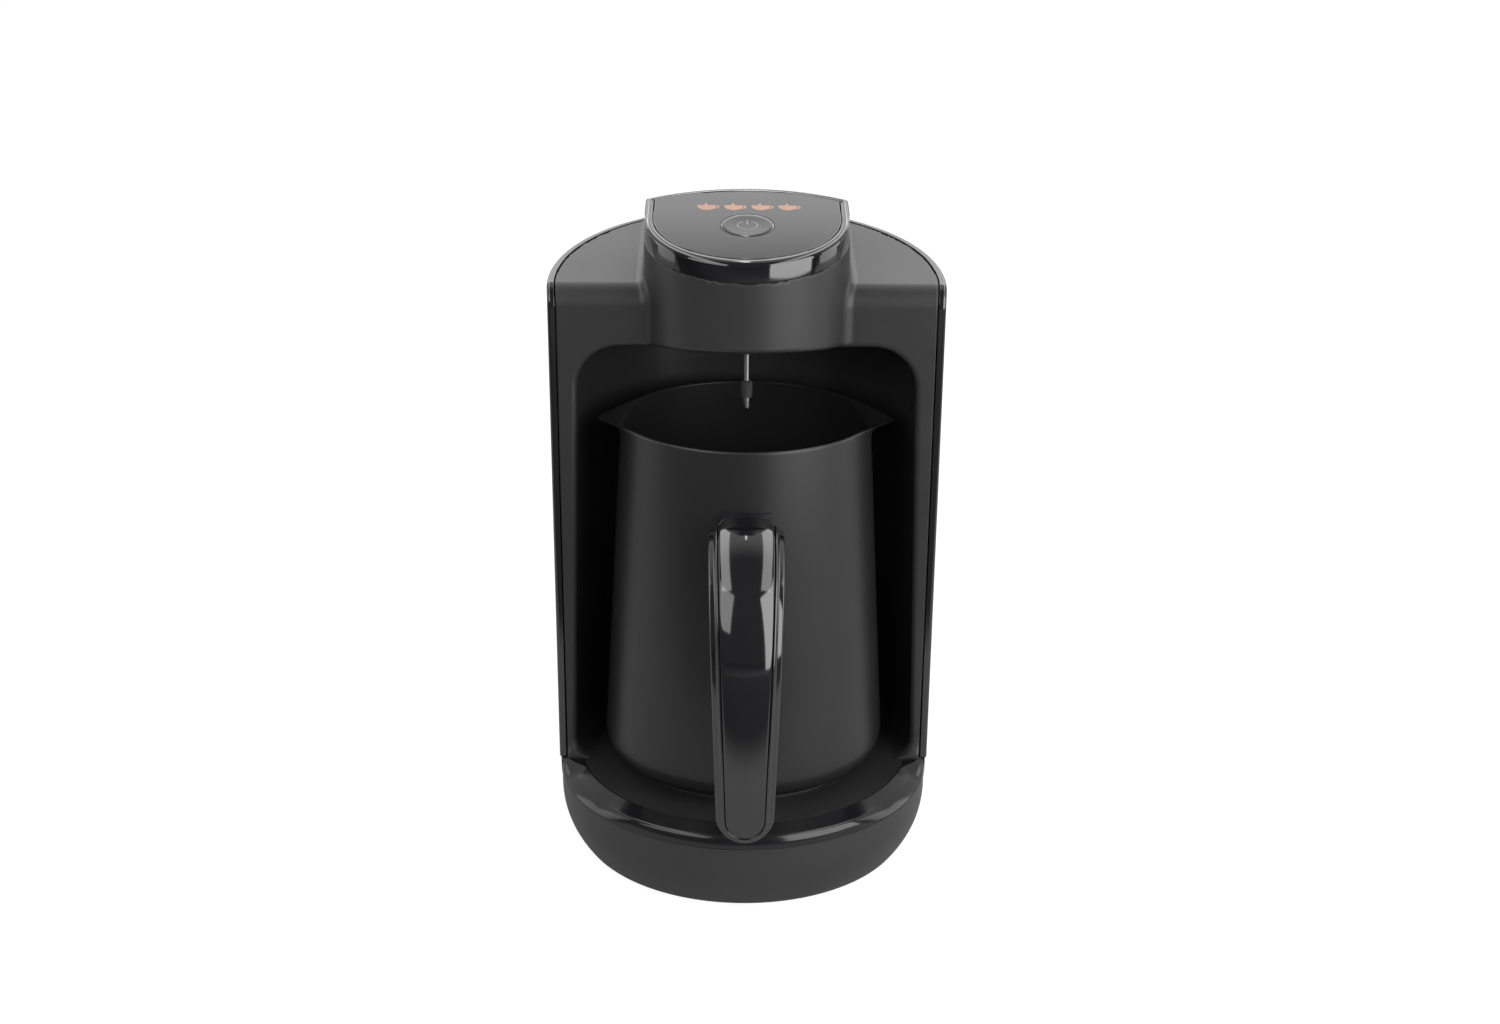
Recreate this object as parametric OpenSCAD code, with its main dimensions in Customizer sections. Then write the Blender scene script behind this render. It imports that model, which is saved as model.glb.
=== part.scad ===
// Electric pot coffee maker: a round base with a heating plate, an upright half-round
// column with a bay for the pot, a head with the controls and a hanging boil probe,
// and a lift-off pot with a bowed handle. Millimetres. The pot's axis is vertical.

/* [Body] */
// Outer radius of the glossy back shell about the pot's axis
shell_r = 65.5; // [63:0.5:72]
// Wall of the moulded covers
wall = 2.4; // [1.8:0.1:3]
// Distance from the pot's axis forward to the column's flat front
front_y = 9; // [6:0.5:13]
// Height of the column's front where it folds into the shoulders
column_h = 199.7; // [192:0.5:204]
// Rise of the shoulders towards the back, in degrees
shoulder_slope = 10; // [6:0.5:12]
// Radius of the fold between front and shoulders
fold_r = 6; // [4:0.5:10]
// Edge of the back shell that shows beside the front, with its seam
edge_w = 2.7; // [2.2:0.1:3.4]

/* [Bay for the pot] */
// Width of the strip beside the bay at its floor
strip_low_w = 3.5; // [3.3:0.1:5.5]
// Width of the strip beside the bay below its rounded top
strip_top_w = 6.4; // [5:0.1:8.5]
// Height of the bay's ceiling
bay_top_z = 180.3; // [172:0.5:180.5]
// Radius between the bay's wall and ceiling
bay_corner_r = 14; // [8:0.5:18]
// Depth of the space between the bay's flat rear wall and the back shell
space_behind = 10.3; // [9:0.1:12]
// Radius of the sweep from the bay's wall down to its floor
bay_sweep_r = 7.5; // [4:0.5:8]

/* [Head] */
// Width of the head
head_w = 67.4; // [60:0.2:74]
// Distance from the pot's axis back to the centre of the head's round front
head_c_y = 2; // [0:0.5:5]
// Height of the deck's top at the round front
deck_front_z = 213.4; // [210:0.2:220]
// Tilt of the deck, in degrees, low at the front
deck_slope = 13; // [8:0.5:16]
// Distance from the pot's axis to the deck's rear edge
deck_back_y = 26; // [24:0.5:32]
// Radius of the deck's rear edge, seen from above
deck_back_r = 68.7; // [60:0.5:90]
// Height of the glossy band round the deck
band_h = 6.5; // [5:0.5:9]
// Width of the band's rim beside the deck panel
band_w = 2.8; // [2:0.1:4]
// Height of the head's underside where it leaves the column
under_z = 181; // [180.8:0.1:184]
// Rise of the underside towards the front, in degrees
under_slope = 8.5; // [4:0.5:12]
// Fall of the roof behind the deck, in degrees
roof_slope = 20.5; // [14:0.5:21]

/* [Controls] */
// Diameter of the power button
button_d = 17.4; // [14:0.2:20]
// Travel of the power button
button_travel = 0.6; // [0.3:0.1:0.8]
// Distance from the pot's axis forward to the button's centre
button_y = 4; // [2:0.5:7]
// Distance from the pot's axis back to the row of cup signs
icon_y = 10; // [9:0.5:13]
// Distance between cup signs
icon_pitch = 8.9; // [7.5:0.1:10]

/* [Base] */
// Height of the floor that surrounds the heating plate
base_h = 31.2; // [29:0.2:34]
// Distance that the glossy rim lies inside the back shell
rim_inset = 0.5; // [0.2:0.1:1.5]
// Width of the glossy rim
rim_w = 8; // [7.5:0.5:10]
// Height of the rim's lower edge above the table
rim_low_z = 25.7; // [23:0.1:27]
// Distance that the skirt turns in from the rim to its foot
skirt_turn = 7; // [4:0.5:8]
// Height of the feet below the bottom cover
foot_h = 1.2; // [0.8:0.1:2]
// Diameter of a rubber foot
foot_d = 13; // [10:0.5:14]
// Distance from the bottom cover's edge to a foot's centre
foot_inset = 10.6; // [9:0.2:14]

/* [Heater] */
// Width of the floor between the heating plate and the rim
plate_margin = 16; // [15:0.5:20]
// Height of the heating plate above the floor round it
plate_rise = 1.2; // [0.8:0.1:2]
// Diameter of the plate's sensor button
sensor_d = 9; // [7:0.5:10]
// Travel of the sensor button
sensor_travel = 1.5; // [0.8:0.1:1.6]
// Distance from the plate's edge in to the middle of the heating element's tube
element_inset = 14; // [11:0.5:17]

/* [Pot] */
// Height of the pot from its underside to its rim
pot_h = 122.3; // [110:0.5:124]
// Gap between the pot's foot and the bay's wall
pot_room = 10.1; // [8:0.1:13]
// Distance that the pot's wall draws in from its underside to its rim
pot_taper = 7.2; // [4:0.2:10]
// Radius between the pot's wall and its underside
pot_corner_r = 9; // [5:0.5:12]
// Wall of the pot
pot_wall = 1.2; // [0.8:0.1:2]
// Gap between a spout's tip and the bay's wall
spout_room = 6; // [4:0.2:9]
// Height of the flare below a spout
spout_h = 13; // [8:0.5:18]
// Drop of a spout's tip below the rim
spout_drop = 1.6; // [0:0.2:3]

/* [Handle] */
// Reach of the handle's front from the pot's axis
handle_reach = 83.5; // [78:0.5:90]
// Height of the handle's top above the table
handle_top_z = 136.5; // [130:0.5:140]
// Height of the handle's free lower end above the table
handle_end_z = 35; // [34:0.5:50]
// Width of the handle at its top
handle_w = 24.8; // [20:0.2:30]
// Width of the handle at its lower end
handle_end_w = 18.8; // [16:0.2:24]
// Thickness of the handle from front to back
handle_t = 12; // [9:0.5:14]

/* [Probe] */
// Distance from the pot's axis forward to the boil probe
probe_y = 14; // [12:0.5:20]
// Height of the probe's tip
probe_tip_z = 161; // [159:0.5:166]
// Diameter of the probe's rod
probe_d = 1.6; // [1.2:0.1:2]

/* [Hidden] */
$fn = 96;

// Clearances
fit = 0.1;
seam = 0.2;
eps = 0.01;

// Screws
screw_r = 1.5;
screw_gap = 0.2;
screw_head_r = 2.9;
screw_head_h = 1;
screw_recess_r = screw_head_r + 0.3;
cross_l = 3.6;
cross_w = 0.7;
cross_depth = 0.5;

// Body
fascia_r = shell_r - edge_w;
bay_bottom_r = fascia_r - strip_low_w;
bay_top_r = fascia_r - strip_top_w;
bay_back_y = fascia_r - space_behind;
big = 3 * shell_r;
centre_shift = (handle_reach - shell_r) / 2;
shell_screw_x = 24;
shell_screw_low = 25;
shell_screw_top = 12;
shell_post_r = 3.5;
shell_post_y = sqrt(pow(fascia_r + fit, 2) - pow(shell_screw_x + shell_post_r, 2)) - fit;
shell_head_y = sqrt(pow(shell_r, 2) - pow(shell_screw_x + screw_recess_r, 2)) - 1.3 - shell_post_y;
shell_thread_end = 0.6;
shell_thread_l = shell_post_y - bay_back_y - 2 * shell_thread_end;

// Base, from the table up
rim_r = shell_r - rim_inset;
floor_r = rim_r - rim_w;
skirt_foot_r = rim_r - skirt_turn;
cover_z = foot_h;
cover_t = 2.2;
cover_top = cover_z + cover_t;
cover_recess = 1.2;
cover_screw_l = 9;
foot_recess = 1;
foot_bevel = 0.5;
cover_r = skirt_foot_r - wall;
foot_place_r = cover_r - foot_inset;
ledge_w = 0.7;
ledge_r = cover_r - ledge_w;
ledge_t = 2;
skirt_top_r = rim_r - 0.3;
skirt_bend_h = 0.78 * rim_low_z;
skirt_bend = 2.3;
skirt_steps = 14;
rim_round_r = base_h - rim_low_z - 0.9;
rim_ledge_w = 2;
floor_t = wall;
floor_back_r = fascia_r - 1.3;
post_r = 4;
post_place = (cover_r - ledge_w - post_r) / sqrt(2);
post_bore_l = 13;
slot_w = 2;
slot_l = 30;
slot_pitch = 6;
slot_y = -25;

// Heating plate and what hangs under it
plate_r = floor_r - plate_margin;
plate_z = base_h + plate_rise;
plate_flange_t = 2;
plate_t = 4.4;
plate_low_z = plate_z - plate_t;
plate_step = 2.5;
plate_hole_r = plate_r - plate_step + 0.7;
seal_t = 0.8;
element_r = plate_r - element_inset;
element_tube_r = 3.3;
element_sink = 0.6;
element_z = plate_low_z - element_tube_r + element_sink;
element_gap = 50;
element_ends = [90 - element_gap / 2, 90 + element_gap / 2];
shield_depth = 13.2;
shield_z = base_h - shield_depth;
shield_t = 1;
shield_room = 4;
shield_r = plate_r + shield_room;
shield_flange_w = 1.5;
terminal_r = 1.5;
terminal_drop = 3;
holder_wall = 1.6;
holder_floor = 1;
holder_gap = 0.4;
sensor_flange_w = 0.7;
holder_r = sensor_d / 2 + sensor_flange_w + 2 * fit + holder_wall;
spring_wire = 0.7;
spring_turns = 4;
spring_low_z = shield_z + shield_t + holder_floor;
sensor_low_z = spring_low_z + (spring_turns + 1) * spring_wire + sensor_travel + 0.6;
sensor_flange_t = 1;
sensor_top = plate_z + 0.1;
sensor_bevel = 0.3;
fuse_y = -element_r - 10;
fuse_r = 2.4;
fuse_l = 13;
clip_w = 6;
clip_t = 1;

// Boards
board_t = 1.6;
power_board_z = cover_top + 3.6;
power_board_w = 2 * (post_place - post_r - 2);
power_board_y0 = -18;
power_board_y1 = post_place - 2;
power_board_top = power_board_z + board_t;
peg_edge = 4;
peg_x = power_board_w / 2 - peg_edge;
peg_y0 = power_board_y0 + peg_edge;
peg_y1 = power_board_y1 - peg_edge;
peg_r = 1.2;
peg_foot_r = 3;
peg_rise = 0.8;
// Relay, transformer and terminals, each as [x, y, width, depth, height]
power_blocks = [[-20, -10, 19, 15.5, 6.5], [4, 6, 14, 12, 6], [-18, 14, 16, 8, 6]];
capacitor_x = 8;
capacitor_y = -8;
capacitor_r = 4;
capacitor_h = 6.5;
harness_w = 10;
harness_x = 14;
harness_t = 1.2;
harness_y = bay_back_y + wall + 3.2;
plug_edge = 1;
plug_h = 5;
plug_t = 5;
gland_r = 5;
cord_r = 3.3;
gland_z = 15;
gland_out = 2.4;
gland_flange_w = 0.9;
gland_flange_t = 1.4;
gland_in = skirt_outer(gland_z, wall / 2) - skirt_outer(gland_z - gland_r - gland_flange_w, wall)
    + gland_flange_t + 1.4 * fit;

// Head and controls
head_foot_z = shoulder_z(0) - 10;
band_depth = band_h * cos(deck_slope);
band_lip = 1.5;
deck_t = 2.2;
deck_board_depth = 9;
deck_board_low = deck_board_depth + board_t;
board_inset = 7;
board_post_r = 2.6;
board_post_turn = 32;
board_post_place = head_w / 2 - board_inset - board_post_r;
board_post_x = board_post_place * cos(board_post_turn);
board_post_y0 = head_c_y - board_post_place * sin(board_post_turn);
board_post_y1 = deck_back_y - 17;
board_pilot_r = 1;
carrier_t = 2;
carrier_w = 6.4;
led_w = 3.2;
led_d = 2.4;
led_h = 1.4;
guide_r = 2.4;
sign_t = 0.4;
buzzer_x = -13;
buzzer_y = -2;
buzzer_r = 4.6;
buzzer_h = 4.5;
buzzer_hole_r = 0.9;
button_gap = 0.15;
button_flange_w = 0.9;
button_flange_t = 0.85;
button_post_r = 2.2;
switch_w = 6;
switch_h = 3.4;
switch_floor = 0.6;
stem_r = 1.7;
stem_top = deck_board_depth - switch_h - button_travel - 0.3;
stem_low = deck_board_depth - switch_floor - button_travel - 0.4;

// Cup sign and power sign
cup_r = 2.2;
cup_low = -1.3;
ear_r = 0.95;
ear_bore_r = 0.45;
saucer_w = 5.8;
saucer_t = 0.55;
sign_ring_r = 3.5;
sign_line = 0.6;
sign_gap = 2.6;

// Boil probe
bush_r = 3.6;
bush_h = 9;
bush_low_z = under_z - 0.6;
bush_flange_r = 5.6;
bush_flange_t = 2;
rod_end_z = bush_low_z + 12;
collar_r = 2;
collar_low_z = probe_tip_z + 4.4;
collar_h = 5.4;
collar_bevel = 0.6;
tip_r = 1.15;
tip_bevel = 0.5;

// Pot
pot_bottom_r = bay_bottom_r - pot_room;
pot_rim_r = pot_bottom_r - pot_taper;
spout_reach = bay_top_r - spout_room;
pot_gap = 0.2;
pot_z = plate_z + pot_gap;
rim_z = pot_z + pot_h;
spout_z = rim_z - spout_h;
spout_angle = 34;
spout_round = 2;
spout_curve = 1.5;
pot_quarter = 16;
pot_corner_steps = 4;
flare_steps = 4;
bracket_t = 1.4;
bracket_w = 16;
bracket_h = 15.5;
bracket_drop = 1.5;
bracket_z1 = handle_top_z - bracket_drop;
bracket_z0 = bracket_z1 - bracket_h;
stud_drop = 7.5;
stud_z = handle_top_z - stud_drop;
stud_r = 3;

// Handle
handle_step = 1.4;
handle_lip = 2.1;
insert_margin = 3;
insert_t = 2.6;
handle_corner = 3.6;
handle_bend_drop = 50;
handle_bend_z = handle_top_z - handle_bend_drop;
handle_root_z = handle_top_z - handle_t - 2;
handle_root_y = -pot_r(handle_root_z) - bracket_t - seam;
handle_top_points = [
    [handle_root_y, handle_top_z], [-handle_reach + 20, handle_top_z - 0.5],
    [-handle_reach, handle_top_z - 18], [-handle_reach, handle_bend_z]];
// Front edge of the handle in (y, z), from the pot to the free end
handle_curve = concat(
    [for (i = [0:14]) bezier(handle_top_points, i / 14)],
    [for (i = [1:8]) bezier([
        [-handle_reach, handle_bend_z], [-handle_reach, handle_bend_z - 18],
        [-handle_reach + 1.5, handle_end_z + 14], [-handle_reach + 4.5, handle_end_z - 1]], i / 8)]);
handle_head_h = 1.6;
handle_head_gap = 0.5;
handle_web = 3;
// The screw's head lies just behind the cover at the height of the head's upper edge
cover_back_y = lookup(stud_z + screw_head_r, [for (p = handle_inner(insert_t)) [p[1], p[0]]]);
handle_head_y = cover_back_y + handle_head_h + handle_head_gap;
handle_head_l = handle_root_y + 1 - handle_head_y;
stud_l = handle_head_l - handle_web;
handle_screw_l = handle_head_l - 1;

// Colours
matte_black = [0.17, 0.17, 0.18];
gloss_black = [0.05, 0.05, 0.06];
pot_black = [0.14, 0.14, 0.15];
steel = [0.75, 0.76, 0.78];
rubber = [0.1, 0.1, 0.1];
copper = [0.78, 0.5, 0.38];
board_green = [0.1, 0.35, 0.2];

function arc(cx, cy, r, a0, a1, n = 12) =
    [for (i = [0:n]) let (a = a0 + (a1 - a0) * i / n) [cx + r * cos(a), cy + r * sin(a)]];
function bezier(p, t) =
    pow(1 - t, 3) * p[0] + 3 * t * pow(1 - t, 2) * p[1] + 3 * t * t * (1 - t) * p[2]
    + pow(t, 3) * p[3];
function unit(v) = v / norm(v);
function reversed(list) = [for (i = [len(list) - 1:-1:0]) list[i]];

// Heights of the sloping surfaces at a distance y behind the pot's axis
function shoulder_z(y) = column_h + (y + front_y) * tan(shoulder_slope);
function deck_z(y) = deck_front_z + (y - head_c_y + head_w / 2) * tan(deck_slope);
function roof_z(y) = deck_z(deck_back_y) - (y - deck_back_y) * tan(roof_slope);
function under_face_z(y) = under_z - (y + front_y) * tan(under_slope);
function pot_r(z) = pot_bottom_r + (pot_rim_r - pot_bottom_r) * (z - pot_z) / pot_h;

// Moves what is drawn about the pot's axis so that the origin is under the middle of the whole
module from_axis() {
    translate([0, centre_shift, 0]) children();
}

// A side outline, given as (y, z), carried across the whole width
module across(width = big) {
    rotate([90, 0, 90]) linear_extrude(width, center = true) children();
}

// Places a child on the deck at (x, y) with its z axis square to the deck
module on_deck(x, y) {
    translate([x, y, deck_z(y)]) rotate([deck_slope, 0, 0]) children();
}

// A screw along z: the underside of its head is at the origin and its shank points up
module screw(shank_l, head_h = screw_head_h) {
    difference() {
        union() {
            translate([0, 0, -head_h]) cylinder(r = screw_head_r, h = head_h);
            cylinder(r = screw_r - fit / 2, h = shank_l);
        }
        for (a = [0, 90]) rotate(a) translate([-cross_l / 2, -cross_w / 2, -head_h - 1])
            cube([cross_l, cross_w, cross_depth + 1]);
    }
}

// Triangles that join rings of points, each ring with the same number of points
function ring_faces(rings, sides) =
    [for (i = [0:rings - 2], k = [0:sides - 1], half = [0, 1])
        let (a = i * sides + k, b = i * sides + (k + 1) % sides)
        half == 0 ? [a, a + sides, b + sides] : [a, b + sides, b]];

module at_posts() {
    for (sx = [-1, 1], sy = [-1, 1]) translate([sx * post_place, sy * post_place, 0]) children();
}

module behind_front() {
    translate([-big / 2, -front_y, 0]) cube([big, big, 2 * big]);
}

// Base

function skirt_outer(z, inset = 0) =
    skirt_top_r - inset
    - (skirt_top_r - skirt_foot_r) * pow(max(0, 1 - (z - cover_z) / skirt_bend_h), skirt_bend);

module base_skirt() {
    heights = [for (i = [0:skirt_steps]) cover_z + (rim_low_z - cover_z) * i / skirt_steps];
    color(matte_black) from_axis() difference() {
        union() {
            rotate_extrude() polygon(concat(
                [for (z = heights) [skirt_outer(z), z]],
                reversed([for (z = heights) [skirt_outer(z, wall), z]])));
            translate([0, 0, cover_top]) difference() {
                cylinder(r = skirt_outer(cover_top) - wall / 2, h = ledge_t);
                translate([0, 0, -1]) cylinder(r = ledge_r, h = ledge_t + 2);
            }
        }
        gland_place() cylinder(r = gland_r + fit, h = 20, center = true);
    }
}

module bottom_cover() {
    color(matte_black) from_axis() difference() {
        union() {
            translate([0, 0, cover_z]) cylinder(r = cover_r - fit, h = cover_t);
            at_pegs() translate([0, 0, cover_top]) {
                cylinder(r = peg_foot_r, h = power_board_z - cover_top);
                cylinder(r = peg_r, h = power_board_top + peg_rise - cover_top);
            }
        }
        at_posts() translate([0, 0, cover_z - 1]) {
            cylinder(r = screw_r + screw_gap, h = cover_t + 2);
            cylinder(r = screw_recess_r, h = cover_recess + 1);
        }
        at_feet() translate([0, 0, cover_z - 1]) cylinder(d = foot_d + 2 * fit, h = 1 + foot_recess);
        for (i = [-3:3]) translate([i * slot_pitch - slot_w / 2, slot_y, cover_z - 1])
            cube([slot_w, slot_l, cover_t + 2]);
    }
}

module at_pegs() {
    for (sx = [-1, 1], y = [peg_y0, peg_y1]) translate([sx * peg_x, y, 0]) children();
}

module at_feet() {
    for (a = [0:90:270]) rotate(a) translate([foot_place_r, 0, 0]) children();
}

module rubber_feet() {
    color(rubber) from_axis() at_feet() {
        cylinder(d1 = foot_d - 2 * foot_bevel, d2 = foot_d, h = foot_bevel);
        translate([0, 0, foot_bevel]) cylinder(d = foot_d, h = foot_h + foot_recess - foot_bevel);
    }
}

module cover_screws() {
    color(steel) from_axis() at_posts() translate([0, 0, cover_z + cover_recess]) screw(cover_screw_l);
}

module base_rim() {
    profile = concat(
        [[floor_r + seam / 2, base_h]],
        arc(rim_r - rim_round_r, base_h - rim_round_r, rim_round_r, 90, 0),
        [[rim_r, rim_low_z], [rim_r - wall, rim_low_z]],
        arc(rim_r - rim_round_r, base_h - rim_round_r, rim_round_r - wall, 0, 90),
        [[floor_r + seam / 2, base_h - wall]]);
    color(gloss_black) from_axis() difference() {
        rotate_extrude() polygon(profile);
        translate([0, -seam, 0]) behind_front();
    }
}

module base_floor() {
    color(matte_black) from_axis() difference() {
        union() {
            translate([0, 0, base_h - floor_t]) {
                cylinder(r = floor_r, h = floor_t);
                intersection() {
                    cylinder(r = floor_back_r, h = floor_t);
                    behind_front();
                }
            }
            difference() {
                translate([0, 0, base_h - 2 * floor_t]) cylinder(r = rim_r - rim_round_r, h = floor_t);
                translate([0, 0, base_h - 3 * floor_t]) cylinder(r = floor_r - rim_ledge_w, h = 3 * floor_t);
                translate([0, -seam, 0]) behind_front();
            }
            at_posts() translate([0, 0, cover_top])
                cylinder(r = post_r, h = base_h - floor_t - cover_top + eps);
        }
        at_posts() translate([0, 0, cover_top - 1]) cylinder(r = screw_r, h = post_bore_l + 1);
        translate([0, 0, base_h - 2 * floor_t]) cylinder(r = plate_hole_r, h = 3 * floor_t);
        translate([0, 0, plate_z - plate_flange_t - seal_t])
            cylinder(r = plate_r + seam, h = plate_t + seal_t);
        translate([harness_x - harness_w / 2 - plug_edge, harness_y - harness_t, base_h - 2 * floor_t])
            cube([harness_w + 2 * plug_edge, big, 3 * floor_t]);
    }
}

// Heater

module plate_seal() {
    color(rubber) from_axis() translate([0, 0, plate_z - plate_flange_t - seal_t]) difference() {
        cylinder(r = plate_r + fit, h = seal_t);
        translate([0, 0, -1]) cylinder(r = plate_r - plate_step + fit, h = seal_t + 2);
    }
}

module heating_plate() {
    color([0.3, 0.3, 0.31]) from_axis() difference() {
        union() {
            translate([0, 0, plate_z - plate_flange_t]) cylinder(r = plate_r, h = plate_flange_t);
            translate([0, 0, plate_low_z])
                cylinder(r = plate_r - plate_step, h = plate_t - plate_flange_t + eps);
        }
        translate([0, 0, plate_low_z - 1]) cylinder(d = sensor_d + 2 * fit, h = plate_t + 2);
    }
}

module heating_element() {
    color(steel) from_axis() {
        rotate(element_ends[1]) rotate_extrude(angle = 360 - element_gap) intersection() {
            translate([element_r, element_z]) circle(r = element_tube_r, $fn = 48);
            square([2 * element_r, plate_low_z]);
        }
        for (a = element_ends) rotate(a) translate([element_r, 0, 0]) {
            translate([0, 0, shield_z - terminal_drop])
                cylinder(r = terminal_r, h = element_z - shield_z + terminal_drop, $fn = 32);
            translate([0, 0, element_z - element_tube_r - 1])
                cylinder(r = terminal_r + 1, h = element_tube_r, $fn = 32);
        }
    }
}

module heat_shield() {
    flange_z = base_h - floor_t;
    color(steel) from_axis() difference() {
        union() {
            translate([0, 0, shield_z]) cylinder(r = shield_r, h = flange_z - shield_z);
            translate([0, 0, flange_z - shield_t]) cylinder(r = shield_r + shield_flange_w, h = shield_t);
        }
        translate([0, 0, shield_z + shield_t]) cylinder(r = shield_r - shield_t, h = base_h);
        for (a = element_ends) rotate(a) translate([element_r, 0, shield_z - 1])
            cylinder(r = terminal_r + 2, h = shield_t + 2);
    }
}

module sensor_holder() {
    low_z = shield_z + shield_t;
    color([0.85, 0.83, 0.78]) from_axis() difference() {
        translate([0, 0, low_z]) cylinder(r = holder_r, h = plate_low_z - holder_gap - low_z);
        translate([0, 0, spring_low_z]) cylinder(r = holder_r - holder_wall, h = base_h);
    }
}

module sensor_button() {
    color(steel) from_axis() {
        translate([0, 0, sensor_low_z]) {
            cylinder(d = sensor_d + 2 * sensor_flange_w, h = sensor_flange_t);
            cylinder(d = sensor_d, h = sensor_top - sensor_bevel - sensor_low_z);
        }
        translate([0, 0, sensor_top - sensor_bevel])
            cylinder(d1 = sensor_d, d2 = sensor_d - 2 * sensor_bevel, h = sensor_bevel);
    }
}

// A round wire wound on a helix: rings of points joined by faces
module wound_wire(r, wire_d, z0, z1, turns, sides = 6, steps = 12) {
    count = turns * steps;
    pitch = (z1 - z0 - wire_d) / count;
    points = [for (i = [0:count], k = [0:sides - 1])
        let (a = 360 * i / steps, b = 360 * k / sides, q = r + wire_d / 2 * cos(b))
        [q * cos(a), q * sin(a), z0 + wire_d / 2 + pitch * i + wire_d / 2 * sin(b)]];
    ends = [[for (k = [0:sides - 1]) k], [for (k = [sides - 1:-1:0]) count * sides + k]];
    polyhedron(points, concat(ends, ring_faces(count + 1, sides)), convexity = 10);
}

module sensor_spring() {
    color(steel) from_axis()
        wound_wire(holder_r - holder_wall - spring_wire / 2 - 2 * fit, spring_wire,
            spring_low_z + eps, sensor_low_z - eps, spring_turns);
}

module thermal_fuse() {
    color([0.8, 0.78, 0.7]) from_axis() translate([0, fuse_y, shield_z + shield_t]) {
        translate([0, 0, fuse_r]) rotate([0, 90, 0])
            cylinder(r = fuse_r, h = fuse_l, center = true, $fn = 32);
        translate([-clip_w / 2, -clip_w / 2, 0]) cube([clip_w, clip_w, clip_t]);
    }
}

// Boards and wiring

module power_board() {
    color(board_green) from_axis() difference() {
        translate([-power_board_w / 2, power_board_y0, power_board_z])
            cube([power_board_w, power_board_y1 - power_board_y0, board_t]);
        at_pegs() translate([0, 0, power_board_z - 1]) cylinder(r = peg_r + fit, h = board_t + 2);
    }
}

module power_parts() {
    color([0.2, 0.35, 0.6]) from_axis() translate([0, 0, power_board_top]) {
        for (b = power_blocks) translate([b[0], b[1], 0]) cube([b[2], b[3], b[4]]);
        translate([capacitor_x, capacitor_y, 0]) cylinder(r = capacitor_r, h = capacitor_h, $fn = 32);
    }
}

// The route of the flat lead in (y, z): out of the power board's plug, up behind the bay
// and forward under the roof to the control board's plug
function harness_route() = [
    [power_board_y1 - plug_t, power_board_top + 3],
    [harness_y - 4, power_board_top + 3],
    [harness_y, power_board_top + 8],
    [harness_y, column_h - 4],
    [deck_back_y - 4, deck_z(deck_back_y) - 21],
    [deck_back_y - 13, deck_z(deck_back_y) - 21]
];

module wire_harness() {
    route = harness_route();
    last = route[len(route) - 1];
    plug_w = harness_w + 2 * plug_edge;
    color([0.55, 0.55, 0.58]) from_axis() translate([harness_x, 0, 0]) {
        across(harness_w) for (i = [0:len(route) - 2]) {
            step = route[i + 1] - route[i];
            translate(route[i]) rotate(atan2(step[1], step[0])) translate([0, -harness_t / 2])
                square([norm(step), harness_t]);
            translate(route[i]) circle(d = harness_t, $fn = 24);
        }
        translate([-plug_w / 2, route[0][0] - plug_t + 1, power_board_top]) cube([plug_w, plug_t, plug_h]);
        on_deck(0, last[0]) translate([-plug_w / 2, -3, -deck_board_low - 8]) cube([plug_w, 4, 8]);
    }
}

module gland_place() {
    translate([0, skirt_outer(gland_z) - wall / 2, gland_z]) rotate([-90, 0, 0]) children();
}

module cord_gland() {
    color(rubber) from_axis() gland_place() difference() {
        translate([0, 0, -gland_in]) {
            cylinder(r = gland_r, h = gland_in + gland_out);
            cylinder(r = gland_r + gland_flange_w, h = gland_flange_t);
        }
        cylinder(r = cord_r, h = 4 * gland_in, center = true);
    }
}

// Column

// Side outline of the column: upright front, fold and rising shoulder
module column_side(inset, low_z) {
    fold_z = column_h + fold_r * tan(shoulder_slope) - fold_r / cos(shoulder_slope);
    polygon(concat(
        [[-front_y + inset, low_z]],
        arc(-front_y + fold_r, fold_z, fold_r - inset, 180, 90 + shoulder_slope),
        [[big, shoulder_z(big) - inset / cos(shoulder_slope)], [big, low_z]]));
}

module column_solid() {
    intersection() {
        cylinder(r = fascia_r, h = 2 * big);
        across() column_side(0, base_h);
    }
}

// Bay for the pot: a cone about the pot's axis with a rounded top and a flat rear wall
module bay(grow) {
    corner_z = bay_top_z - bay_corner_r;
    intersection() {
        rotate_extrude() polygon(concat(
            [[0, base_h - eps], [bay_bottom_r + grow, base_h - eps]],
            arc(bay_top_r - bay_corner_r, corner_z, bay_corner_r + grow, 0, 90),
            [[0, bay_top_z + grow]]));
        translate([-big / 2, -big, 0]) cube([big, big + bay_back_y + grow, 2 * big]);
    }
}

// Concave sweep where the bay's wall runs into its floor
module bay_sweep() {
    intersection() {
        rotate_extrude() polygon(concat(
            [[bay_bottom_r + eps, base_h]],
            reversed(arc(bay_bottom_r - bay_sweep_r, base_h + bay_sweep_r, bay_sweep_r, 270, 360)),
            [[bay_bottom_r - bay_sweep_r, base_h], [bay_bottom_r + eps, base_h]]));
        bay(eps);
        translate([-big / 2, -front_y, 0]) cube([big, big, 2 * big]);
    }
}

// Head, seen from above: round front, straight sides
module head_plan(inset) {
    translate([0, head_c_y]) circle(r = head_w / 2 - inset);
    translate([-head_w / 2 + inset, head_c_y]) square([head_w - 2 * inset, big]);
}

module deck_plan(inset) {
    intersection() {
        head_plan(inset);
        translate([0, deck_back_y - deck_back_r]) circle(r = deck_back_r - inset, $fn = 180);
    }
}

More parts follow.
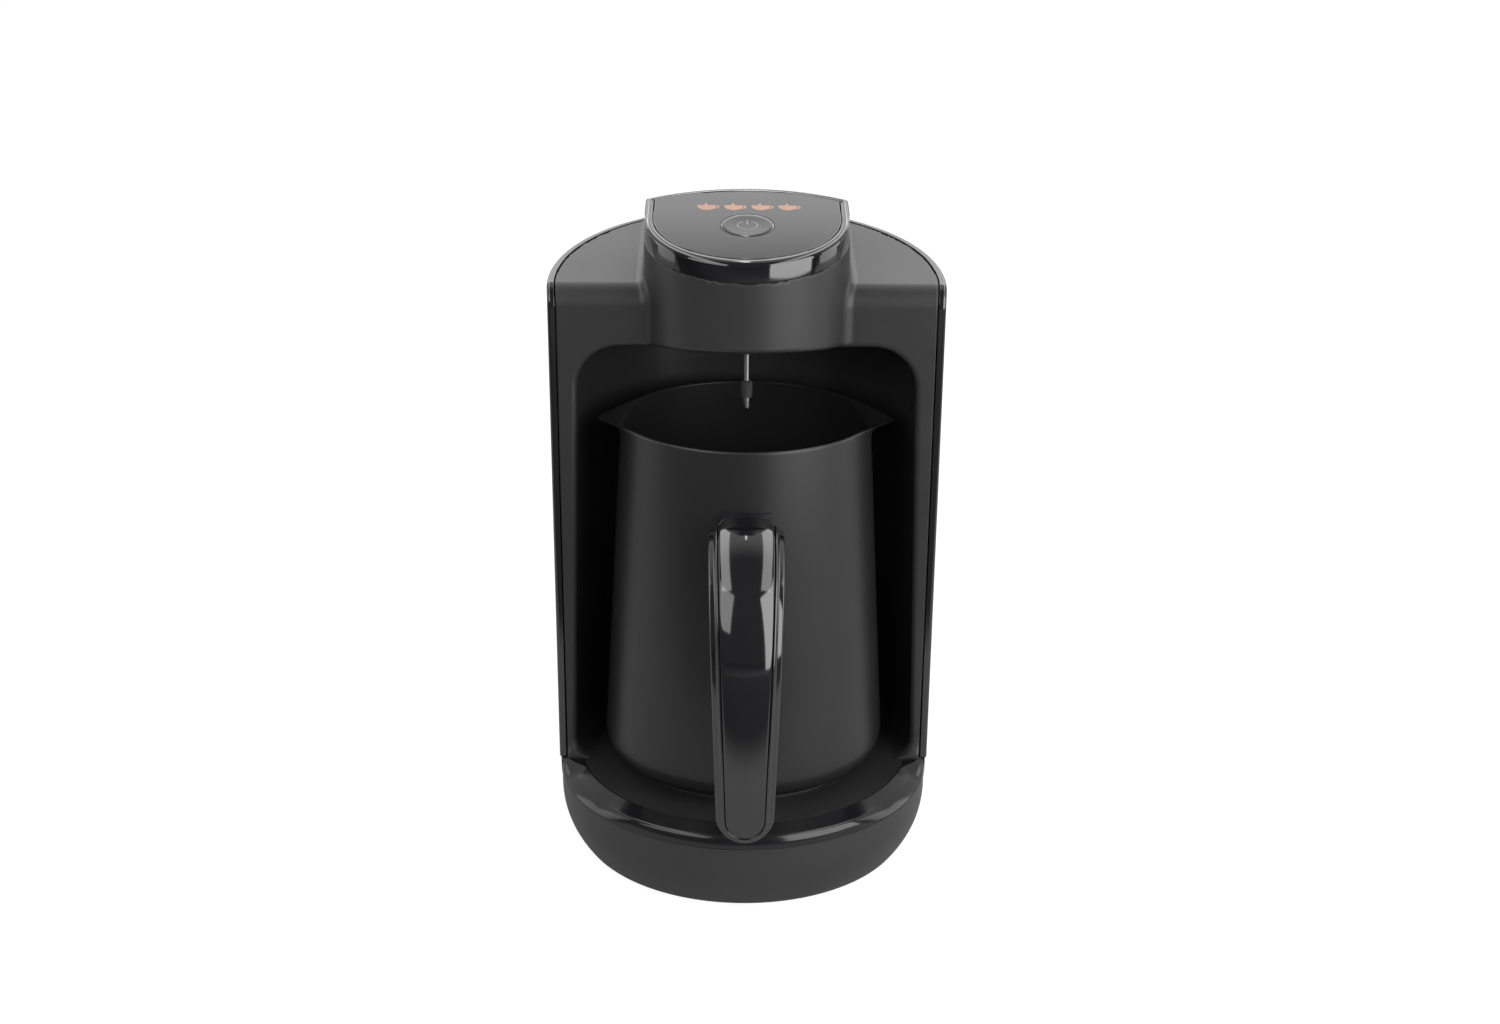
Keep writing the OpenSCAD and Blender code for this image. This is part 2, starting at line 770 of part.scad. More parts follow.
// Slab parallel to the deck between two depths below it
module deck_slab(top, low) {
    drop = 1 / cos(deck_slope);
    across() polygon([
        [-big, deck_z(-big) - top * drop], [big, deck_z(big) - top * drop],
        [big, deck_z(big) - low * drop], [-big, deck_z(-big) - low * drop]]);
}

module head_solid() {
    intersection() {
        linear_extrude(2 * big) head_plan(0);
        cylinder(r = fascia_r, h = 2 * big);
        across() polygon([
            [-head_w, under_face_z(-head_w)], [-front_y, under_z], [-front_y, head_foot_z],
            [big, head_foot_z], [big, roof_z(big)], [deck_back_y, deck_z(deck_back_y)],
            [-head_w, deck_z(-head_w)]]);
    }
}

module head_cavity() {
    intersection() {
        linear_extrude(2 * big) head_plan(wall);
        cylinder(r = fascia_r - wall, h = 2 * big);
        across() polygon([
            [-head_w, under_face_z(-head_w) + wall], [-front_y, under_z + wall],
            [big, under_z + wall], [big, roof_z(big) - wall],
            [deck_back_y - 2, deck_z(deck_back_y) - band_h], [-head_w, deck_z(-head_w) - band_h]]);
    }
}

module front_cover() {
    color(matte_black) from_axis() difference() {
        union() {
            difference() {
                union() {
                    column_solid();
                    head_solid();
                }
                across() column_side(wall, 0);
                head_cavity();
                intersection() {
                    linear_extrude(2 * big) deck_plan(-seam / 2);
                    deck_slab(-5, band_depth);
                }
            }
            intersection() {
                bay(wall);
                column_solid();
            }
            at_shell_screws() rotate([90, 0, 0])
                cylinder(r = shell_post_r, h = shell_post_y - bay_back_y - wall / 2);
        }
        difference() {
            bay(0);
            bay_sweep();
        }
        translate([0, -probe_y, under_z - 2]) cylinder(r = bush_r + fit, h = bush_h);
        at_shell_screws() rotate([90, 0, 0]) translate([0, 0, -1])
            cylinder(r = screw_r, h = shell_thread_l + shell_thread_end + 1);
    }
}

// The screws that hold the back shell to posts behind the bay; the y axis is the screw's
module at_shell_screws() {
    for (sx = [-1, 1], z = [base_h + shell_screw_low, bay_top_z - shell_screw_top])
        translate([sx * shell_screw_x, shell_post_y, z]) children();
}

module back_shell() {
    color(gloss_black) from_axis() difference() {
        intersection() {
            cylinder(r = shell_r, h = 2 * big);
            across() column_side(0, rim_low_z + seam);
        }
        translate([0, 0, -1]) cylinder(r = fascia_r + fit, h = 2 * big);
        at_shell_screws() rotate([-90, 0, 0]) {
            translate([0, 0, -2]) cylinder(r = screw_r + screw_gap, h = big);
            translate([0, 0, shell_head_y]) cylinder(r = screw_recess_r, h = big);
        }
    }
}

module shell_screws() {
    color(steel) from_axis() at_shell_screws() translate([0, shell_head_y, 0]) rotate([90, 0, 0])
        screw(shell_head_y + shell_thread_l);
}

// Deck and controls

module head_band() {
    color(gloss_black) from_axis() {
        intersection() {
            linear_extrude(2 * big) difference() {
                deck_plan(0);
                deck_plan(band_w);
            }
            deck_slab(0, band_depth);
        }
        intersection() {
            linear_extrude(2 * big) difference() {
                deck_plan(band_w - eps);
                deck_plan(band_w + band_lip);
            }
            deck_slab(deck_t, band_depth);
        }
    }
}

module deck_panel() {
    color(gloss_black) from_axis() difference() {
        intersection() {
            linear_extrude(2 * big) deck_plan(band_w + fit);
            deck_slab(0, deck_t);
        }
        on_deck(0, -button_y) cylinder(d = button_d + 2 * button_gap, h = 4 * deck_t, center = true);
        at_signs() translate([0, 0, -sign_t]) linear_extrude(5) cup_outline();
    }
}

module deck_carrier() {
    color(matte_black) from_axis() difference() {
        union() {
            intersection() {
                linear_extrude(2 * big) difference() {
                    deck_plan(band_w + band_lip + fit);
                    deck_plan(band_w + band_lip + fit + carrier_w);
                }
                deck_slab(deck_t, deck_t + carrier_t);
            }
            at_board_posts() translate([0, 0, -deck_board_depth])
                cylinder(r = board_post_r, h = deck_board_depth - deck_t);
        }
        at_board_posts() translate([0, 0, -deck_board_depth - 1]) cylinder(r = board_pilot_r, h = 5);
    }
}

module at_board_posts() {
    for (sx = [-1, 1], y = [board_post_y0, board_post_y1]) on_deck(sx * board_post_x, y) children();
}

module at_signs() {
    for (i = [0:3]) on_deck((i - 1.5) * icon_pitch, icon_y) children();
}

// A little cup on a saucer, with its ear on the right
module cup_outline() {
    intersection() {
        translate([0, cup_low + cup_r]) circle(r = cup_r, $fn = 40);
        translate([-cup_r, cup_low]) square([2 * cup_r, cup_r]);
    }
    intersection() {
        translate([cup_r, cup_low + 1.4]) difference() {
            circle(r = ear_r, $fn = 24);
            circle(r = ear_bore_r, $fn = 24);
        }
        translate([cup_r - 0.6, cup_low + 0.3]) square([2 * ear_r, cup_r]);
    }
    translate([-saucer_w / 2, cup_low - 0.8]) square([saucer_w, saucer_t]);
}

module cup_signs() {
    color(copper) from_axis() at_signs() translate([0, 0, -sign_t]) linear_extrude(sign_t) cup_outline();
}

module light_guides() {
    color([0.85, 0.85, 0.9, 0.6]) from_axis() at_signs() translate([0, 0, -deck_board_depth + led_h])
        cylinder(r = guide_r, h = deck_board_depth - led_h - deck_t, $fn = 32);
}

module indicator_leds() {
    color([0.95, 0.93, 0.85]) from_axis() at_signs()
        translate([-led_w / 2, -led_d / 2, -deck_board_depth]) cube([led_w, led_d, led_h]);
}

module control_board() {
    color(board_green) from_axis() difference() {
        intersection() {
            linear_extrude(2 * big) deck_plan(board_inset);
            deck_slab(deck_board_depth, deck_board_low);
        }
        at_board_posts() cylinder(r = board_pilot_r, h = 4 * deck_board_low, center = true);
    }
}

module buzzer() {
    color(rubber) from_axis() on_deck(buzzer_x, buzzer_y) translate([0, 0, -deck_board_low - buzzer_h])
        difference() {
            cylinder(r = buzzer_r, h = buzzer_h);
            translate([0, 0, -1]) cylinder(r = buzzer_hole_r, h = 2, $fn = 24);
        }
}

module button_switch() {
    color([0.25, 0.25, 0.27]) from_axis() on_deck(0, -button_y) translate([0, 0, -deck_board_depth])
        difference() {
            translate([-switch_w / 2, -switch_w / 2, 0]) cube([switch_w, switch_w, switch_h]);
            translate([0, 0, switch_floor]) cylinder(r = stem_r + fit, h = switch_h, $fn = 32);
        }
}

module switch_stem() {
    color([0.7, 0.65, 0.5]) from_axis() on_deck(0, -button_y)
        translate([0, 0, -stem_low]) cylinder(r = stem_r, h = stem_low - stem_top, $fn = 32);
}

module power_button() {
    color(gloss_black) from_axis() on_deck(0, -button_y) difference() {
        union() {
            translate([0, 0, -deck_t - button_gap - button_flange_t]) {
                cylinder(d = button_d, h = deck_t + button_gap + button_flange_t);
                cylinder(d = button_d + 2 * button_flange_w, h = button_flange_t);
            }
            translate([0, 0, -stem_top]) cylinder(r = button_post_r, h = stem_top - deck_t, $fn = 32);
        }
        translate([0, 0, -sign_t]) linear_extrude(5) power_outline();
    }
}

// The usual power sign: an open ring with a bar in its gap
module power_outline() {
    difference() {
        circle(r = sign_ring_r, $fn = 48);
        circle(r = sign_ring_r - sign_line, $fn = 48);
        translate([-sign_gap / 2, 0]) square([sign_gap, 2 * sign_ring_r]);
    }
    translate([-sign_line / 2, sign_line]) square([sign_line, sign_ring_r + 0.1]);
}

module power_sign() {
    color([0.4, 0.4, 0.42]) from_axis() on_deck(0, -button_y)
        translate([0, 0, -sign_t]) linear_extrude(sign_t) power_outline();
}

// Boil probe

module probe_holder() {
    flange_z = under_face_z(-probe_y - bush_flange_r) + wall + fit;
    color(rubber) from_axis() translate([0, -probe_y, 0]) difference() {
        union() {
            translate([0, 0, bush_low_z]) cylinder(r = bush_r, h = bush_h);
            translate([0, 0, flange_z]) cylinder(r = bush_flange_r, h = bush_flange_t);
        }
        translate([0, 0, bush_low_z - 1]) cylinder(d = probe_d + fit, h = bush_h + 2);
    }
}

module probe_rod() {
    color(steel) from_axis() translate([0, -probe_y, collar_low_z])
        cylinder(d = probe_d, h = rod_end_z - collar_low_z, $fn = 32);
}

module probe_collar() {
    color(rubber) from_axis() translate([0, -probe_y, collar_low_z]) difference() {
        union() {
            cylinder(r = collar_r, h = collar_h - collar_bevel, $fn = 40);
            translate([0, 0, collar_h - collar_bevel])
                cylinder(r1 = collar_r, r2 = collar_r - 0.5, h = collar_bevel, $fn = 40);
        }
        translate([0, 0, -1]) cylinder(d = probe_d + fit, h = collar_h + 2, $fn = 32);
    }
}

module probe_tip() {
    color(steel) from_axis() translate([0, -probe_y, probe_tip_z]) {
        cylinder(r1 = tip_r - 0.35, r2 = tip_r, h = tip_bevel, $fn = 32);
        translate([0, 0, tip_bevel])
            cylinder(r = tip_r, h = collar_low_z - probe_tip_z - tip_bevel, $fn = 32);
    }
}

// Pot

// Angles round the pot, closer together at the two spouts
pot_sides = 4 * pot_quarter;
function quarter_angle(k) = 90 * pow(k / pot_quarter, 1.35);
pot_angles = [for (i = [0:pot_sides - 1])
    let (side = floor(i / pot_quarter), k = i % pot_quarter)
    90 * side + (side % 2 == 0 ? quarter_angle(k) : 90 - quarter_angle(pot_quarter - k))];

// 1 at a spout's tip, falling to 0 where the spout leaves the round of the rim
function spout_share(a) =
    let (off = abs((a + 90) % 180 - 90), soft = sqrt(off * off + spout_round * spout_round) - spout_round)
    pow(max(0, 1 - soft / spout_angle), 2);

function round_ring(r, z) = [for (a = pot_angles) [r * cos(a), r * sin(a), z]];

// Ring of the flare at a share of its height, from the spouts' foot at 0 to the rim at 1
function flare_ring(share, inset) = [for (a = pot_angles)
    let (
        out = spout_share(a),
        z = spout_z + share * (spout_h - spout_drop * out),
        r = pot_r(z) - inset + (spout_reach - pot_rim_r) * out * pow(share, spout_curve))
    [r * cos(a), r * sin(a), z]];

// Rings of the pot's wall, from its underside up to the rim
function wall_rings(inset) =
    let (corner_z = pot_z + pot_corner_r, r = pot_corner_r - inset)
    concat(
        [for (p = arc(pot_r(corner_z) - pot_corner_r, corner_z, r, 270, 360, pot_corner_steps))
            round_ring(p[0], p[1])],
        [for (i = [0:flare_steps]) flare_ring(i / flare_steps, inset)]);

module pot_body() {
    rings = concat(wall_rings(0), reversed(wall_rings(pot_wall)));
    count = len(rings);
    points = concat([for (ring = rings, p = ring) p], [[0, 0, pot_z], [0, 0, pot_z + pot_wall]]);
    under = count * pot_sides;
    last = under - pot_sides;
    faces = concat(
        ring_faces(count, pot_sides),
        [for (k = [0:pot_sides - 1]) [under, k, (k + 1) % pot_sides]],
        [for (k = [0:pot_sides - 1]) [last + k, under + 1, last + (k + 1) % pot_sides]]);
    color(pot_black) from_axis() polyhedron(points, faces, convexity = 10);
}

module handle_bracket() {
    span = 2 * asin(bracket_w / 2 / pot_r(stud_z));
    color(steel) from_axis() difference() {
        union() {
            rotate(-90 - span / 2) rotate_extrude(angle = span) polygon([
                [pot_r(bracket_z0), bracket_z0], [pot_r(bracket_z0) + bracket_t, bracket_z0],
                [pot_r(bracket_z1) + bracket_t, bracket_z1], [pot_r(bracket_z1), bracket_z1]]);
            translate([0, -pot_r(stud_z) - bracket_t / 2, stud_z]) rotate([90, 0, 0])
                cylinder(r = stud_r, h = stud_l + bracket_t / 2);
        }
        translate([0, -pot_r(stud_z) - bracket_t, stud_z]) rotate([90, 0, 0])
            cylinder(r = screw_r, h = stud_l + 1);
    }
}

// Handle

function curve_normal(c, i) =
    let (a = c[max(0, i - 1)], b = c[min(len(c) - 1, i + 1)], d = unit(b - a)) [-d[1], d[0]];

// The same curve moved a depth into the handle
function handle_inner(depth) =
    [for (i = [0:len(handle_curve) - 1]) handle_curve[i] + depth * curve_normal(handle_curve, i)];

// Slice of the handle between two depths, seen from the side
module handle_slice(top, low) {
    across(2 * handle_w) intersection() {
        polygon(concat(handle_inner(top), reversed(handle_inner(low))));
        translate([-handle_reach - 5, 0]) square([handle_reach + 5 + handle_root_y, handle_top_z + 5]);
    }
}

// The handle seen from the front, narrowing to a round free end
module handle_front(inset) {
    end_r = handle_end_w / 2;
    rotate([90, 0, 0]) linear_extrude(big) polygon(concat(
        [[handle_w / 2 - inset, handle_top_z + 5], [-handle_w / 2 + inset, handle_top_z + 5]],
        arc(0, handle_end_z + end_r, end_r - inset, 180, 360, 24)));
}

// The handle seen from above, with its corners cut off at the pot
module handle_top(inset) {
    half = handle_w / 2 - inset;
    side = half - 0.75 * handle_corner;
    root = handle_root_y - inset;
    linear_extrude(2 * big) polygon([
        [-half, -big], [half, -big], [half, root - handle_corner], [side, root],
        [-side, root], [-half, root - handle_corner]]);
}

module handle_part(top, low, inset) {
    intersection() {
        handle_slice(top, low);
        handle_front(inset);
        handle_top(inset);
    }
}

module handle_frame() {
    color(matte_black) from_axis() difference() {
        union() {
            handle_part(handle_step, handle_t, 0);
            handle_part(0, handle_step + eps, handle_lip);
        }
        handle_part(-1, insert_t, insert_margin);
        translate([0, handle_root_y + 1, stud_z]) rotate([90, 0, 0]) {
            cylinder(r = stud_r + 1.5 * fit, h = stud_l + 1);
            cylinder(r = screw_r + screw_gap, h = big);
            translate([0, 0, handle_head_l]) cylinder(r = screw_recess_r + fit, h = big);
        }
    }
}

module handle_cover() {
    color(gloss_black) from_axis() handle_part(0, insert_t - fit / 2, insert_margin + seam / 2);
}

module handle_screw() {
    color(steel) from_axis() translate([0, handle_head_y, stud_z]) rotate([-90, 0, 0])
        screw(handle_screw_l, handle_head_h);
}

base_skirt();
bottom_cover();
rubber_feet();
cover_screws();
base_rim();
base_floor();
plate_seal();
heating_plate();
heating_element();
heat_shield();
sensor_holder();
sensor_button();
sensor_spring();
thermal_fuse();
power_board();
power_parts();
wire_harness();
cord_gland();
front_cover();
back_shell();
shell_screws();
head_band();
deck_panel();
deck_carrier();
cup_signs();
light_guides();
indicator_leds();
control_board();
buzzer();
button_switch();
switch_stem();
power_button();
power_sign();
probe_holder();
probe_rod();
probe_collar();
probe_tip();
pot_body();
handle_bracket();
handle_frame();
handle_cover();
handle_screw();
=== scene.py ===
import math

import bmesh
import bpy
import numpy as np
from mathutils import Matrix, Vector


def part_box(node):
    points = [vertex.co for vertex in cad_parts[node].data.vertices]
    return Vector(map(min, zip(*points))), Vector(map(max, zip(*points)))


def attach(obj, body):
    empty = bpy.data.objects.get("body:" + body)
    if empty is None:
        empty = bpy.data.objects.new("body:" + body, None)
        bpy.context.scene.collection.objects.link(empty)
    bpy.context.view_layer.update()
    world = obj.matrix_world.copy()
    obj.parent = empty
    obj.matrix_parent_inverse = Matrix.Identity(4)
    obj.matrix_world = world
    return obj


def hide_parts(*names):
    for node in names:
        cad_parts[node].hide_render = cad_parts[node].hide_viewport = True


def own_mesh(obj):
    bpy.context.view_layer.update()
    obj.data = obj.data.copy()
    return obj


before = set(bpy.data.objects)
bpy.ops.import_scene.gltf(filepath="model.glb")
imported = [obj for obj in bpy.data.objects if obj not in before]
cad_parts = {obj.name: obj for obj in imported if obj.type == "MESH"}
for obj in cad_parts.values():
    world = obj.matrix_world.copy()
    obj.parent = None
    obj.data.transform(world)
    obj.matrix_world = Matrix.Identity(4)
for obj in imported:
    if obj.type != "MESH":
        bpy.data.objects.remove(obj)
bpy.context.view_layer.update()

# Studio
# White paper under a white backdrop. Two softboxes stand left and right of the camera, long panels
# hang overhead, and weaker panels fill in from the sides, the back and low in front.
scene = bpy.context.scene
scene.view_settings.view_transform = "Standard"

sensor_w = 36
focal_px = 1900
image_w_px = 1500
camera_place = Vector((-0.0058, -0.6034, 0.3416))
pitch, yaw, lean = (math.radians(a) for a in (19.9, 0.7, 0.5))
ahead = Vector((math.sin(yaw) * math.cos(pitch), math.cos(yaw) * math.cos(pitch), -math.sin(pitch)))
level_right = Vector((math.cos(yaw), -math.sin(yaw), 0))
level_up = level_right.cross(ahead)
camera_right = level_right * math.cos(lean) + level_up * math.sin(lean)
camera_up = level_up * math.cos(lean) - level_right * math.sin(lean)
camera_data = bpy.data.cameras.new("camera")
camera_data.sensor_width = sensor_w
camera_data.lens = sensor_w * focal_px / image_w_px
camera = bpy.data.objects.new("camera", camera_data)
scene.collection.objects.link(camera)
camera.matrix_world = (
    Matrix.Translation(camera_place) @ Matrix((camera_right, camera_up, -ahead)).transposed().to_4x4())
scene.camera = camera


def node(tree, kind, place=(0, 0), **values):
    """A new node, with its properties and input defaults set by name."""
    made = tree.nodes.new(kind)
    made.location = place
    for name, value in values.items():
        if name in made.bl_rna.properties:
            setattr(made, name, value)
        else:
            made.inputs[name.replace("_", " ")].default_value = value
    return made


def softbox(name, place, target, size, radiance, mirrored=True, turn=0):
    """A flat rectangular lamp of an even brightness that faces a point, seen in gloss or not."""
    lamp = bpy.data.lights.new(name, "AREA")
    lamp.shape = "RECTANGLE"
    lamp.size, lamp.size_y = size
    lamp.energy = radiance * math.pi * size[0] * size[1]
    held = bpy.data.objects.new(name, lamp)
    scene.collection.objects.link(held)
    held.location = place
    held.rotation_euler = (Vector(target) - Vector(place)).to_track_quat("-Z", "Y").to_euler()
    held.rotation_euler.z += math.radians(turn)
    held.visible_camera = False
    held.visible_glossy = mirrored


softbox("right_softbox", (0.73, -0.64, 0.53), (0, -0.03, 0.53), (0.9, 1.06), 3.8)
softbox("left_softbox", (-0.66, -0.71, 0.76), (0, -0.03, 0.76), (0.78, 0.7), 2.1)
softbox("right_panel_overhead", (0.445, 0.23, 1.05), (0.445, 0.23, 0), (0.3, 2.0), 2.4, turn=6.5)
softbox("left_panel_overhead", (-0.445, 0.23, 1.05), (-0.445, 0.23, 0), (0.3, 2.0), 2.4, turn=-6.5)
softbox("middle_strip_overhead", (0, 0.52, 1.05), (0, 0.52, 0), (0.03, 0.7), 6.0)
softbox("right_side_panel", (1.1, 0.2, 0.3), (0, 0, 0.2), (0.6, 0.8), 1.5)
softbox("left_side_panel", (-1.1, 0.2, 0.3), (0, 0, 0.2), (0.6, 0.8), 1.0)
softbox("back_panel", (0, 0.95, 0.69), (0, 0, 0.6), (1.5, 0.5), 1.25)
softbox("right_fill", (0.3, -0.75, 0.4), (0, 0, 0.12), (0.4, 0.5), 3.6, mirrored=False)
softbox("left_fill", (-0.3, -0.75, 0.4), (0, 0, 0.12), (0.4, 0.5), 2.8, mirrored=False)

# The backdrop is white to the camera. Gloss mirrors it as a paler light behind the object and as a
# dim room on the camera's side, and it lights everything evenly and faintly.
backdrop_light = 0.68
room_light = 0.1
even_light = 0.16
world = bpy.data.worlds.new("backdrop")
scene.world = world
world.use_nodes = True
tree = world.node_tree
tree.nodes.clear()
rays = node(tree, "ShaderNodeLightPath", (-900, 300))
coords = node(tree, "ShaderNodeTexCoord", (-900, 0))
axes = node(tree, "ShaderNodeSeparateXYZ", (-720, 0))
tree.links.new(coords.outputs["Generated"], axes.inputs[0])
behind = node(tree, "ShaderNodeMapRange", (-540, 0), From_Min=-0.2, From_Max=0.3,
              To_Min=room_light, To_Max=backdrop_light)
behind.interpolation_type = "SMOOTHSTEP"
tree.links.new(axes.outputs["Y"], behind.inputs["Value"])
in_gloss = node(tree, "ShaderNodeMix", (-360, 100), data_type="FLOAT")
in_gloss.inputs[2].default_value = even_light
tree.links.new(rays.outputs["Is Glossy Ray"], in_gloss.inputs[0])
tree.links.new(behind.outputs[0], in_gloss.inputs[3])
through = node(tree, "ShaderNodeMath", (-360, 300), operation="MAXIMUM")
tree.links.new(rays.outputs["Is Camera Ray"], through.inputs[0])
tree.links.new(rays.outputs["Is Transmission Ray"], through.inputs[1])
seen = node(tree, "ShaderNodeMix", (-180, 200), data_type="FLOAT")
seen.inputs[3].default_value = 1.0
tree.links.new(through.outputs[0], seen.inputs[0])
tree.links.new(in_gloss.outputs[0], seen.inputs[2])
sky = node(tree, "ShaderNodeBackground", (0, 200), Color=(1, 1, 1, 1))
tree.links.new(seen.outputs[0], sky.inputs["Strength"])
shown = node(tree, "ShaderNodeOutputWorld", (200, 200))
tree.links.new(sky.outputs[0], shown.inputs[0])

# The paper glows white to the camera and takes a faint shadow near the object. What gloss mirrors
# of it is grey behind its front edge and darker on the apron before it.
table_half = 4
table_mesh = bpy.data.meshes.new("table")
table_mesh.from_pydata(
    [(x * table_half, y * table_half, 0) for x, y in ((-1, -1), (1, -1), (1, 1), (-1, 1))], [],
    [(0, 1, 2, 3)])
table = bpy.data.objects.new("table", table_mesh)
scene.collection.objects.link(table)
paper_front = -0.178
paper_fade = 0.03
paper_glow = 0.9
paper_grey = 0.46
shadow_grey = 0.2
paper = bpy.data.materials.new("white_paper")
paper.use_nodes = True
tree = paper.node_tree
tree.nodes.clear()
rays = node(tree, "ShaderNodeLightPath", (-900, 300))
coords = node(tree, "ShaderNodeTexCoord", (-900, -100))
axes = node(tree, "ShaderNodeSeparateXYZ", (-720, -100))
tree.links.new(coords.outputs["Object"], axes.inputs[0])
laid = node(tree, "ShaderNodeMapRange", (-540, -100), From_Min=paper_front - paper_fade,
            From_Max=paper_front + paper_fade)
laid.interpolation_type = "SMOOTHSTEP"
tree.links.new(axes.outputs["Y"], laid.inputs["Value"])
apron = node(tree, "ShaderNodeMapRange", (-540, -350), From_Min=-1.1, From_Max=-0.6,
             To_Min=0.3, To_Max=0.07)
tree.links.new(axes.outputs["Y"], apron.inputs["Value"])
shade = node(tree, "ShaderNodeMix", (-360, -100), data_type="RGBA")
shade.inputs[7].default_value = (*[paper_grey] * 3, 1)
tree.links.new(laid.outputs[0], shade.inputs[0])
tree.links.new(apron.outputs[0], shade.inputs[6])
plain = node(tree, "ShaderNodeBsdfDiffuse", (-180, -100))
tree.links.new(shade.outputs[2], plain.inputs["Color"])
faint = node(tree, "ShaderNodeBsdfDiffuse", (-180, 50), Color=(*[shadow_grey] * 3, 1))
tone = node(tree, "ShaderNodeMixShader", (0, 0))
tree.links.new(rays.outputs["Is Camera Ray"], tone.inputs[0])
tree.links.new(plain.outputs[0], tone.inputs[1])
tree.links.new(faint.outputs[0], tone.inputs[2])
glow = node(tree, "ShaderNodeEmission", (0, 200))
level = node(tree, "ShaderNodeMath", (-180, 200), operation="MULTIPLY")
away = node(tree, "ShaderNodeVectorMath", (-540, 350), operation="LENGTH")
tree.links.new(coords.outputs["Object"], away.inputs[0])
farther = node(tree, "ShaderNodeMapRange", (-360, 350), From_Min=0.4, From_Max=0.9,
               To_Min=paper_glow, To_Max=1.0)
tree.links.new(away.outputs["Value"], farther.inputs["Value"])
tree.links.new(farther.outputs[0], level.inputs[1])
tree.links.new(rays.outputs["Is Camera Ray"], level.inputs[0])
tree.links.new(level.outputs[0], glow.inputs["Strength"])
both = node(tree, "ShaderNodeAddShader", (180, 100))
tree.links.new(tone.outputs[0], both.inputs[0])
tree.links.new(glow.outputs[0], both.inputs[1])
shown = node(tree, "ShaderNodeOutputMaterial", (360, 100))
tree.links.new(both.outputs[0], shown.inputs[0])
table_mesh.materials.append(paper)

# Skirt of the base
# A matte black bowl without a bottom, moulded in one with the base's side, drawn in towards the
# table. Its upper edge carries the glossy rim and its lower edge the bottom cover.
mm = 0.001
plate_low, plate_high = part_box("heating_plate")
axis_y = (plate_low.y + plate_high.y) / 2


def measure(node_name):
    """A CAD node's lowest and highest corners in millimetres from the pot's axis."""
    low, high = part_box(node_name)
    shift = Vector((0, axis_y, 0))
    return (low - shift) / mm, (high - shift) / mm


def smooth(made, crease=40):
    """Shades a mesh smooth except over its sharp edges."""
    made.data.shade_smooth()
    made.data.set_sharp_from_angle(angle=math.radians(crease))


def solid(name, points, faces, crease=40):
    """A closed solid from points in millimetres from the pot's axis."""
    mesh = bpy.data.meshes.new(name)
    mesh.from_pydata((np.asarray(points, float) * mm + (0, axis_y, 0)).tolist(), [], faces)
    work = bmesh.new()
    work.from_mesh(mesh)
    bmesh.ops.remove_doubles(work, verts=work.verts, dist=1e-6)
    bmesh.ops.recalc_face_normals(work, faces=work.faces)
    work.to_mesh(mesh)
    work.free()
    made = bpy.data.objects.new(name, mesh)
    scene.collection.objects.link(made)
    smooth(made, crease)
    return made


def fit(made, material, slot, body, *replaced):
    """Gives a finished piece its material and its place in the machine."""
    made.data.materials.clear()
    made.data.materials.append(material)
    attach(made, body)
    if replaced:
        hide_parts(*replaced)
    return made


def joined(rings, loop=False):
    """Points and faces of a closed skin over rings of equally many points."""
    rings = np.asarray(rings, float)
    count, sides = rings.shape[:2]
    faces = []
    for i in range(count if loop else count - 1):
        a, b = i * sides, (i + 1) % count * sides
        faces += [(a + k, a + (k + 1) % sides, b + (k + 1) % sides, b + k) for k in range(sides)]
    if not loop:
        faces.append(tuple(range(sides))[::-1])
        faces.append(tuple((count - 1) * sides + k for k in range(sides)))
    return rings.reshape(-1, 3), faces


def turned(outline, steps=180):
    """Points and faces of a closed outline of (radius, height) turned about the pot's axis."""
    angles = np.linspace(0, 2 * math.pi, steps, endpoint=False)
    rings = [[(r * math.cos(a), r * math.sin(a), z) for r, z in outline] for a in angles]
    return joined(rings, loop=True)


def rounded(corners, steps=5):
    """A closed outline from (x, y, radius) corners, each rounded by its radius."""
    outline = []
    for i, (x, y, radius) in enumerate(corners):
        corner = np.array((x, y), float)
        if radius == 0:
            outline.append(tuple(corner))
            continue
        back = np.array(corners[i - 1][:2], float) - corner
        on = np.array(corners[(i + 1) % len(corners)][:2], float) - corner
        back /= np.linalg.norm(back)
        on /= np.linalg.norm(on)
        half = math.acos(np.clip(back @ on, -1, 1)) / 2
        middle = (back + on) / np.linalg.norm(back + on)
        centre = corner + middle * radius / math.sin(half)
        start = corner + back * radius / math.tan(half) - centre
        end = corner + on * radius / math.tan(half) - centre
        first = math.atan2(start[1], start[0])
        sweep = (math.atan2(end[1], end[0]) - first + math.pi) % (2 * math.pi) - math.pi
        for k in range(steps + 1):
            a = first + sweep * k / steps
            outline.append((centre[0] + radius * math.cos(a), centre[1] + radius * math.sin(a)))
    return outline


